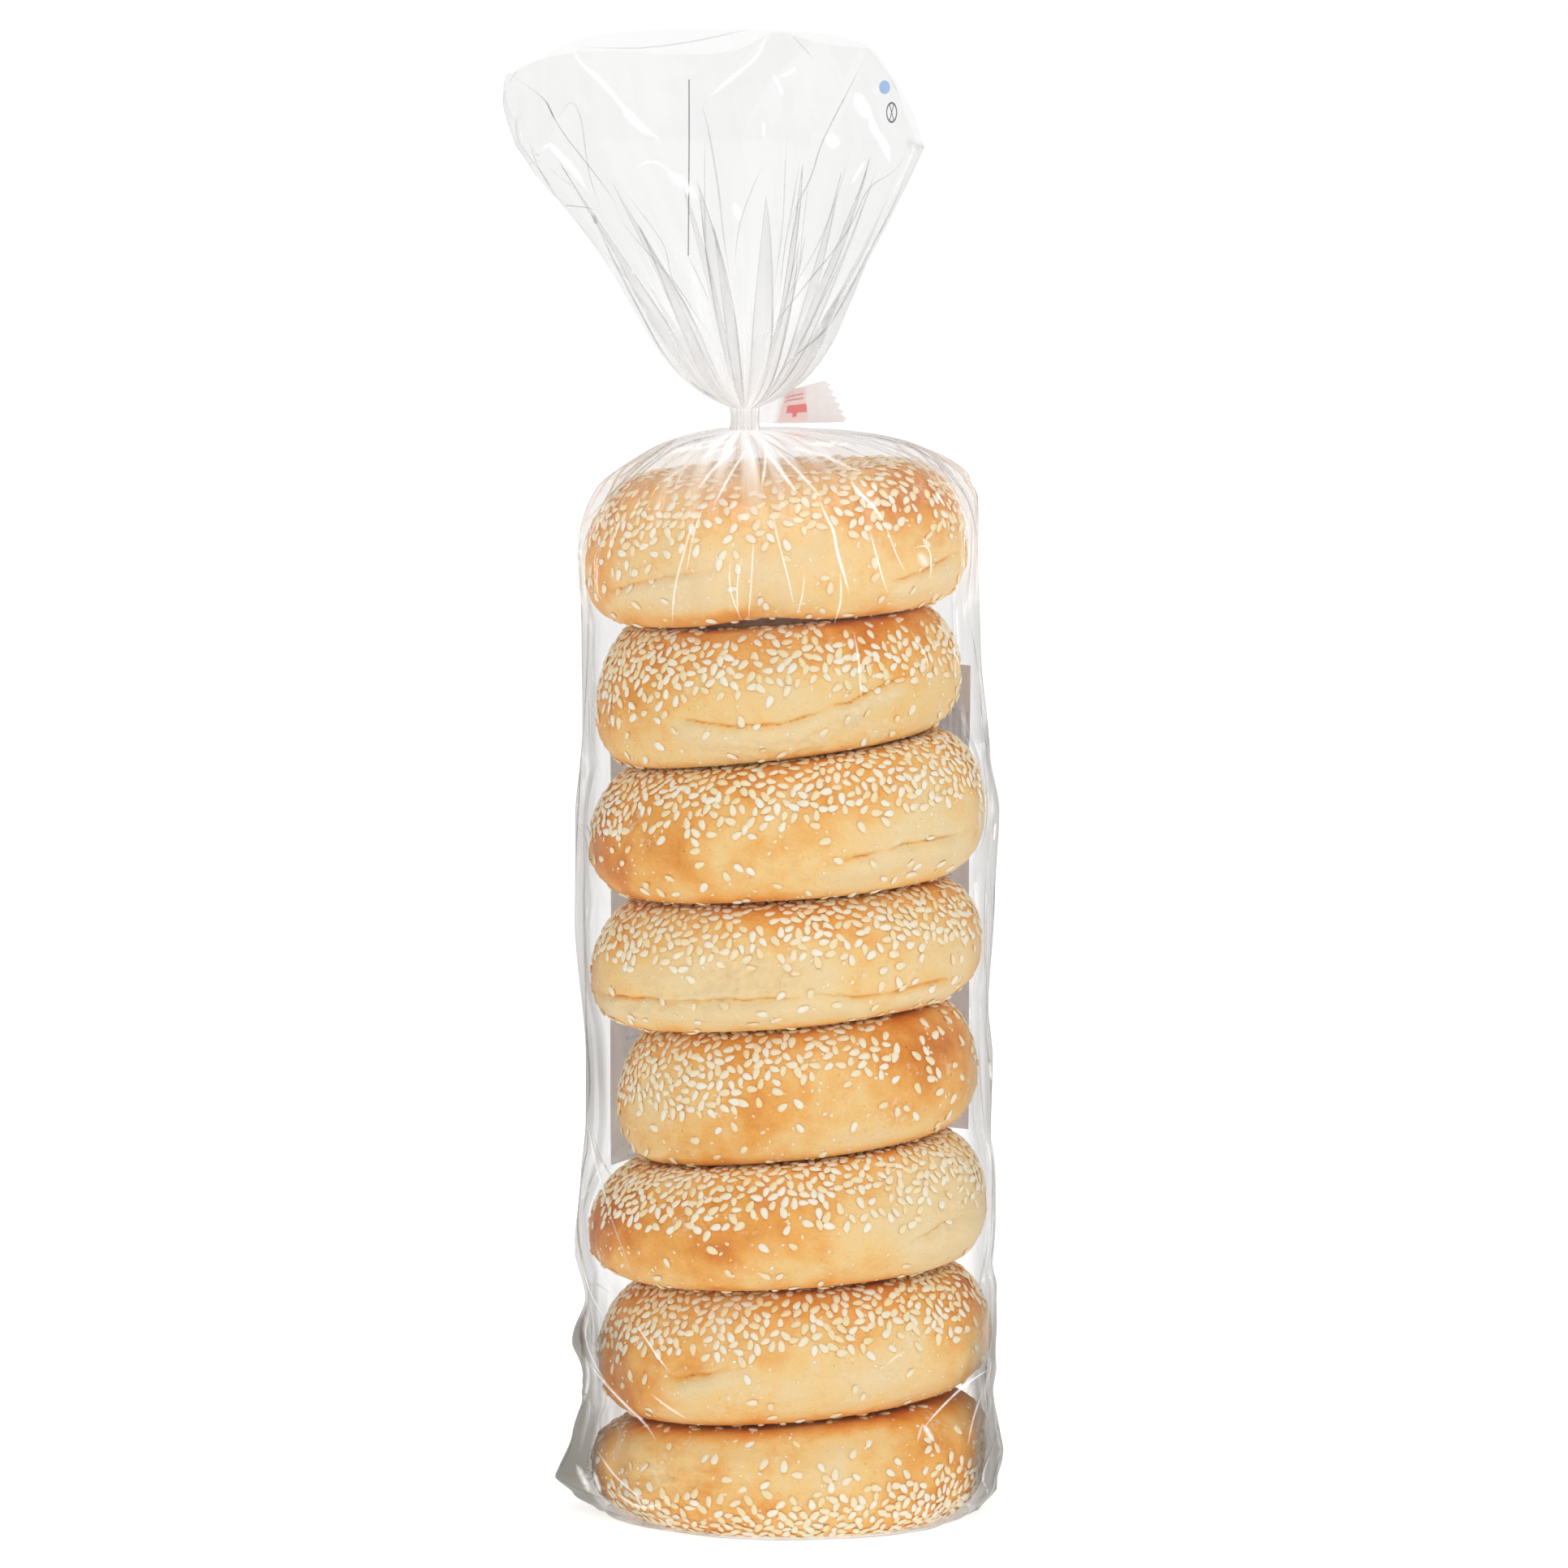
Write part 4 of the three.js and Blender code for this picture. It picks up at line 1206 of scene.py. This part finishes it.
    (0.5, 0, 0.65, ((-52, 100.5), (-51, 95.5), (-53, 87), (-54.5, 71), (-51, 55))),
    (0.5, 0.5, 0.5, ((-50.5, 99), (-48.5, 88.5), (-46, 78), (-42.5, 68), (-38.5, 56.5))),
    (0.5, 1, 0.5, ((-51.5, 102), (-49.5, 90), (-45.5, 78))),
    (0.45, 0, 0.6, ((51.5, 133), (51, 123), (52.5, 113), (53, 98.5), (53.5, 78), (52.5, 61))),
    (0.4, 0.2, 0.4, ((49.5, 120), (50, 109.5), (51.5, 92.5))),
    (0.9, 1, 0.7, ((52, 117), (52.5, 111.5))),
    (1, 1, 0.6, ((-52.5, 40), (-47.5, 33.5), (-41.5, 27), (-36.5, 22.5), (-33.5, 17.5))),
    (0.8, 1, 0.55, ((-35.5, 30.5), (-30.5, 26.5), (-25.5, 23.5))),
    (0.7, 1, 0.6, ((-39.5, 49), (-37, 45.5), (-33.5, 40), (-30, 35.5))),
    (0.5, 0, 0.45, ((-40, 49), (-37.5, 45), (-34, 39.5), (-30.5, 35.5))),
    (0.8, 1, 0.5, ((-49.5, 16), (-44.5, 8.5), (-38, 3), (-34, 0))),
    (0.8, 1, 0.65, ((53.5, 37.5), (47, 33.5), (41.5, 28.5), (36, 22.5), (35, 20))),
    (1.8, 1, 0.7, ((35, 22.5), (36.5, 20), (38, 17.5))),
    (0.8, 1, 0.5, ((35, 22.5), (33.5, 17.5))),
    (0.7, 1, 0.45, ((50.5, 31), (48, 24), (46.5, 16))),
    (0.5, 0, 0.6, ((53.5, 32), (55, 24), (53, 16), (49.5, 8), (52, 4))),
    (1.4, 1, 0.6, ((53.5, 34.5), (54.5, 30.5), (53.5, 27))),
    (0.7, 1, 0.45, ((52.5, 14.5), (50, 8), (52.5, 4), (50, 0.5))),
    (0.5, 0, 0.6, ((55.5, 15), (53.5, 9.5), (52.5, 3))),
    (0.5, 0, 0.55, ((-55, 20), (-57, 13.5), (-59.5, 9.5))),
    (2.2, 1, 0.65, ((-54.5, 12), (-52.5, 8), (-51, 4))),
    (1.6, 1, 0.6, ((-50, 10), (-48, 4))),
    (0.5, 0, 0.5, ((-49.5, 31.5), (-55, 24), (-59.5, 11))),
    (1.4, 1, 0.5, ((-52, 40), (-51, 34.5), (-52.5, 28))),
    (0.6, 0, 0.6, ((-51, 53.5), (-54, 47.5), (-52.5, 40), (-55, 23), (-60.5, 9.5))),
    (0.5, 1, 0.5, ((-50.5, 53), (-52.5, 45.5), (-50, 38.5), (-46, 32))),
    (0.6, 0, 0.55, ((-60.5, 9), (-55, 5.5), (-45.5, 2))),
    (0.5, 0, 0.4, ((-45.5, 2), (-38, -2), (-23, -2.5), (-3, -6))),
    (1, 1, 0.5, ((-44.5, 4.5), (-38, 0), (-32.5, 1.5))),
    (0.5, 0.6, 0.45, ((-49.5, 70.5), (-47.5, 62), (-43.5, 56))),
    (0.5, 1, 0.5, ((-54.5, 71.5), (-51, 56), (-45.5, 48))),
    (0.5, 0.3, 0.45, ((52.5, 70.5), (51, 56), (49.5, 45.5))),
    (0.5, 1, 0.4, ((31, 41.5), (28, 40), (25.5, 37.5))),
)

painted_crease_finish, start = new_material("painted_crease_light")
place = start.place()
white = start.stored("white")
crest = start.stored("crest")
grain = place.noise(2.5, 2.0)
# White strips are painted highlights, grey ones painted shade.
tint = white.mix(paint(128, 126, 124), paint(255, 253, 251))
sockets = {"Base Color": tint, "Roughness": 0.25 + grain * 0.2}
# The white strips glow a little, as painted highlights.
glow = {"Emission Color": white.mix((0, 0, 0, 1), tint), "Emission Strength": 0.3}
cover = (crest * (0.5 + grain)).clamped()
start.shows(start.node("BsdfPrincipled", {**sockets, **glow}), cover)

film_corners, film_faces = [], []
for sheet in (film, mouth):
    offset = len(film_corners)
    film_corners += [vertex.co for vertex in sheet.data.vertices]
    film_faces += [[offset + corner for corner in polygon.vertices] for polygon in sheet.data.polygons]
film_tree = BVHTree.FromPolygons(film_corners, film_faces)


def onto_film(x, z, raised, behind=False):
    """The place on the film, in millimetres, that the camera sees at x and z on the plane y = 0."""
    aim = Vector((x, 0, z)) * MM
    eye = Vector((CAMERA_AT.x, -CAMERA_AT.y, CAMERA_AT.z)) if behind else CAMERA_AT
    sight = (aim - eye).normalized()
    hit = film_tree.ray_cast(eye, sight)[0]
    if hit is None:
        hit = film_tree.find_nearest(aim - sight * 20 * MM)[0]
    return hit / MM - sight * raised


def rounded(points):
    """A line with its corners cut twice."""
    for _ in range(2):
        cut = [points[0]]
        for first, second in zip(points, points[1:]):
            cut += [first.lerp(second, 0.25), first.lerp(second, 0.75)]
        points = cut + [points[-1]]
    return points


def walk(points, share):
    """The place at a share of a line's length, and the line's direction there."""
    steps = [(second - first).length for first, second in zip(points, points[1:])]
    left = share * sum(steps)
    for first, second, step in zip(points, points[1:], steps):
        if left <= step or second is points[-1]:
            return first.lerp(second, left / step), (second - first) / step
        left -= step


bm = bmesh.new()
white_layer = bm.verts.layers.float.new("white")
crest_layer = bm.verts.layers.float.new("crest")
for wide, whiteness, strength, places in PAINTED_CREASE_LINES:
    line = rounded([Vector(spot) for spot in places])
    long = sum((second - first).length for first, second in zip(line, line[1:]))
    below_tape = max(z for _, z in places) < NECK_BASE
    steps = math.ceil(long / CREASE_STEP)
    for behind in (False, True) if below_tape else (False,):
        made = bmesh.ops.create_grid(bm, x_segments=steps, y_segments=2, size=0.5)
        for vertex in made["verts"]:
            share, side = vertex.co.x + 0.5, round(vertex.co.y * 2)
            middle, along = walk(line, min(1.0, share))
            taper = min(1.0, share / 0.25, (1 - share) / 0.25)
            spot = middle + Vector((-along.y, along.x)) * side * wide / 2 * (0.3 + 0.7 * taper)
            vertex.co = onto_film(spot.x, spot.y, CREASE_RAISE, behind)
            vertex[white_layer] = whiteness
            vertex[crest_layer] = strength * (1 - abs(side)) * max(0.0, taper) ** 0.7
stretched = [edge for edge in bm.edges if edge.calc_length() > CREASE_STRETCH]
bmesh.ops.delete(bm, geom=stretched, context="EDGES")
creases = new_object(bm, "painted_film_creases", painted_crease_finish)
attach(creases, "root")


# The tape. A white, slightly see-through strip goes round the neck, and its ends are stuck
# together as a flag that slopes up to the right, cut off saw-toothed. It has a printed field.
COLLAR_RADIUS, COLLAR_HEIGHT, COLLAR_FOOT = 3.7, 4.3, 279.85
TAPE_THICKNESS = 0.28
FLAG_ROOT = ((-7.2, 281.4), (-7.2, 284.2))
FLAG_SHOULDER = ((-1.5, 281.2), (0.9, 289.6))
SHOULDER_SHARE = 0.35  # of the flag's length
FLAG_END = ((14.4, 281.6), (9.4, 291.9))
FLAG_TEETH, TOOTH_DEPTH = 6, 1.1

tape_finish, start = new_material("tape")
place = start.place()
strip = start.stored("strip", "Vector")
along, up, _ = strip.xyz()


def block(left, right, low, high):
    """1 inside a rectangle of the strip, with a slightly rough printed edge."""
    ragged = place.noise(0.5, 2.0) * 0.03 - 0.015
    x, y = along + ragged, up + ragged
    inside = x.between(left, left + 0.02) * (1 - x.between(right, right + 0.02))
    return inside * y.between(low, low + 0.04) * (1 - y.between(high, high + 0.04))


fibres = place.noise(1.4, 3.0)
paper = fibres.mix(paint(246, 238, 236), paint(252, 248, 247))
pale_field = block(0.28, 0.62, 0.03, 0.97)
stripes = block(0.30, 0.58, 0.66, 0.70) + block(0.30, 0.58, 0.78, 0.82)
fields = block(0.36, 0.62, 0.28, 0.52) + block(0.44, 0.50, 0.16, 0.28)
printed = (pale_field * 0.55).mix(paper, paint(255, 208, 200))
printed = (stripes.clamped() * 0.8).mix(printed, paint(205, 110, 112))
printed = (fields.clamped() * 0.9).mix(printed, paint(240, 118, 116))
ripple = start.node("Bump", {"Height": place.noise(4.0, 2.0), "Distance": 0.5 * MM, "Strength": 0.4})
sockets = {"Base Color": printed, "Roughness": 0.32 + fibres * 0.15, "Normal": ripple}
solid = (0.16 + along.between(0.2, 0.34) * 0.62 + fibres * 0.1).clamped()
start.shows(start.node("BsdfPrincipled", sockets), solid)

bm = bmesh.new()
strip_layer = bm.verts.layers.float_vector.new("strip")
columns, flag_rows = 40, 2 * FLAG_TEETH
bmesh.ops.create_grid(bm, x_segments=columns, y_segments=4, size=0.5)
for vertex in bm.verts:
    turn = 2 * math.pi * column_of(vertex.co.x, columns) / columns
    z = COLLAR_FOOT + (vertex.co.y + 0.5) * COLLAR_HEIGHT
    radius = COLLAR_RADIUS + 0.08 * math.cos(7 * turn)
    vertex.co = (NECK_X + radius * math.cos(turn), radius * math.sin(turn), z)
bmesh.ops.remove_doubles(bm, verts=bm.verts, dist=1e-4)
bmesh.ops.recalc_face_normals(bm, faces=bm.faces)
collar = set(bm.verts)
bmesh.ops.create_grid(bm, x_segments=columns, y_segments=flag_rows, size=0.5)
for vertex in bm.verts:
    if vertex in collar:
        continue
    share, rise = vertex.co.x + 0.5, vertex.co.y + 0.5
    root, shoulder, end = (
        Vector((lerp(low[0], high[0], rise), 0, lerp(low[1], high[1], rise)))
        for low, high in (FLAG_ROOT, FLAG_SHOULDER, FLAG_END)
    )
    if share < SHOULDER_SHARE:
        place_on_flag = root.lerp(shoulder, share / SHOULDER_SHARE)
    else:
        place_on_flag = shoulder.lerp(end, (share - SHOULDER_SHARE) / (1 - SHOULDER_SHARE))
    if share > 0.999 and round(rise * flag_rows) % 2:
        place_on_flag.x += TOOTH_DEPTH
    place_on_flag.y = 0.5 * math.sin(share * 5) * share - 0.4 * share * (rise - 0.5)
    vertex.co = place_on_flag
    vertex[strip_layer] = (share, rise, 0)
bmesh.ops.solidify(bm, geom=bm.faces[:], thickness=TAPE_THICKNESS)
tape = new_object(bm, "tape", tape_finish, smooth=False)
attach(tape, "root")
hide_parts("closure_tape")


# Printed on the film: a pale panel on the bag's back, a thin line up the back of the mouth, and a
# blue dot and a crossed ring at the mouth's right edge. The ink lies on the film.
PANEL_LEVELS, PANEL_SIDES = (2.87, 6.46), (47, -45.6)
LINE_X, LINE_Z, LINE_WIDTH = -25.6, (322, 367), 0.35
DOT_AT, DOT_RADIUS, DOT_NARROWED = (24.8, 366.6), 1.75, 0.8
RING_AT, RING_SIZE = (26.6, 360.2), (1.4, 2.7)
INK_RAISE = 0.12
ROWS_PER_METRE, BARS_PER_METRE = 380, 620
BARS_X, BARS_Z = (41, 8.5), (199, 6.5)  # the middle of a field of bars, and half its size
ROWS_X = (0.5, 42)
SOFT_END = 0.5

panel_ink, start = new_material("panel_ink")
spot = start.stored("spot", "Vector")
across, up, _ = spot.xyz()
place = start.place()
worn = place.noise(3.0, 3.0)


def within(place, middle, half):
    """1 where a place is nearer than half to middle, in millimetres, with a soft end."""
    return 1 - abs(place - middle * MM).between(half * MM, (half + SOFT_END) * MM)


row = (up * ROWS_PER_METRE).maths("FLOOR")
rows = 1 - abs((up * ROWS_PER_METRE).maths("FRACT") - 0.5).between(0.14, 0.22)
paragraphs = (row * 0.14).maths("FRACT").between(0.27, 0.28)
words = start.node("CombineXYZ", {0: across, 1: row * 0.013})
breaks = words.noise(1.7, 0.0).between(0.40, 0.43) * paragraphs
bars = (across * BARS_PER_METRE).maths("FRACT").between(0.45, 0.6)
in_bars = within(across, *BARS_X) * within(up, *BARS_Z)
marks = rows * breaks * within(across, *ROWS_X) * (1 - in_bars) + bars * in_bars
ink = (marks * 0.7).clamped().mix(paint(219, 214, 220), paint(96, 92, 100))
bsdf = start.node("BsdfPrincipled", {"Base Color": ink, "Roughness": 0.45 + worn * 0.2})
start.shows(bsdf, solid=0.62 + worn * 0.2)


def back_angle(share, x):
    """The angle at which the back of the sleeve passes an x."""
    low, high = 0.05, math.pi - 0.05
    for _ in range(12):
        middle = (low + high) / 2
        if sleeve_film(share, middle).x > x:
            low = middle
        else:
            high = middle
    return low


bm = bmesh.new()
spot_layer = bm.verts.layers.float_vector.new("spot")
bmesh.ops.create_grid(bm, x_segments=72, y_segments=90, size=0.5)
sides = {}
for vertex in bm.verts:
    share = lerp(*PANEL_LEVELS, vertex.co.y + 0.5) / RIM_LEVEL
    if share not in sides:
        sides[share] = [back_angle(share, x) for x in PANEL_SIDES]
    angle = lerp(*sides[share], vertex.co.x + 0.5)
    vertex.co = sleeve_film(share, angle)
    vertex.co += Vector((math.cos(angle), math.sin(angle), 0)) * INK_RAISE
    vertex[spot_layer] = Vector((vertex.co.x, vertex.co.z, 0)) * MM
bmesh.ops.recalc_face_normals(bm, faces=bm.faces)
panel = new_object(bm, "back_panel", panel_ink)
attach(panel, "root")


def new_ink(name, colour, worn_colour):
    ink, start = new_material(name)
    worn = start.place().noise(0.7, 3.0)
    sockets = {"Base Color": worn.mix(colour, worn_colour), "Roughness": 0.35 + worn * 0.2}
    start.shows(start.node("BsdfPrincipled", sockets))
    return ink


def finish_mark(bm, name, material):
    bmesh.ops.recalc_face_normals(bm, faces=bm.faces)
    mark = new_object(bm, name, material)
    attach(mark, "root")


blue_ink = new_ink("blue_ink", paint(150, 182, 220), paint(166, 194, 228))
grey_ink = new_ink("grey_ink", paint(96, 94, 96), paint(130, 128, 130))
pale_ink = new_ink("pale_ink", paint(136, 134, 136), paint(176, 174, 176))

bm = bmesh.new()
bmesh.ops.create_circle(bm, cap_ends=True, cap_tris=True, segments=28, radius=DOT_RADIUS)
for vertex in bm.verts:
    vertex.co = onto_film(DOT_AT[0] + DOT_NARROWED * vertex.co.x, DOT_AT[1] + vertex.co.y, INK_RAISE)
finish_mark(bm, "blue_dot", blue_ink)

bm = bmesh.new()
made = bmesh.ops.create_circle(bm, cap_ends=True, segments=36, radius=1.0)
ring_face = made["verts"][0].link_faces[0]
bmesh.ops.inset_region(bm, faces=[ring_face], thickness=0.2, use_boundary=True)
bmesh.ops.delete(bm, geom=[ring_face], context="FACES")
for turn in (-1, 1):
    arm = Matrix.Rotation(turn * 1.1, 4, "Z") @ Matrix.Diagonal((1.9, 0.14, 1, 1))
    bmesh.ops.create_grid(bm, x_segments=10, y_segments=1, size=0.5, matrix=arm)
for vertex in bm.verts:
    x, z = (at + size * v for at, size, v in zip(RING_AT, RING_SIZE, vertex.co))
    vertex.co = onto_film(x, z, INK_RAISE)
finish_mark(bm, "crossed_ring", grey_ink)

bm = bmesh.new()
bmesh.ops.create_grid(bm, x_segments=1, y_segments=70, size=0.5)
for vertex in bm.verts:
    x, z = LINE_X + LINE_WIDTH * vertex.co.x, lerp(*LINE_Z, vertex.co.y + 0.5)
    vertex.co = onto_film(x, z, INK_RAISE, behind=True)
finish_mark(bm, "back_line", pale_ink)
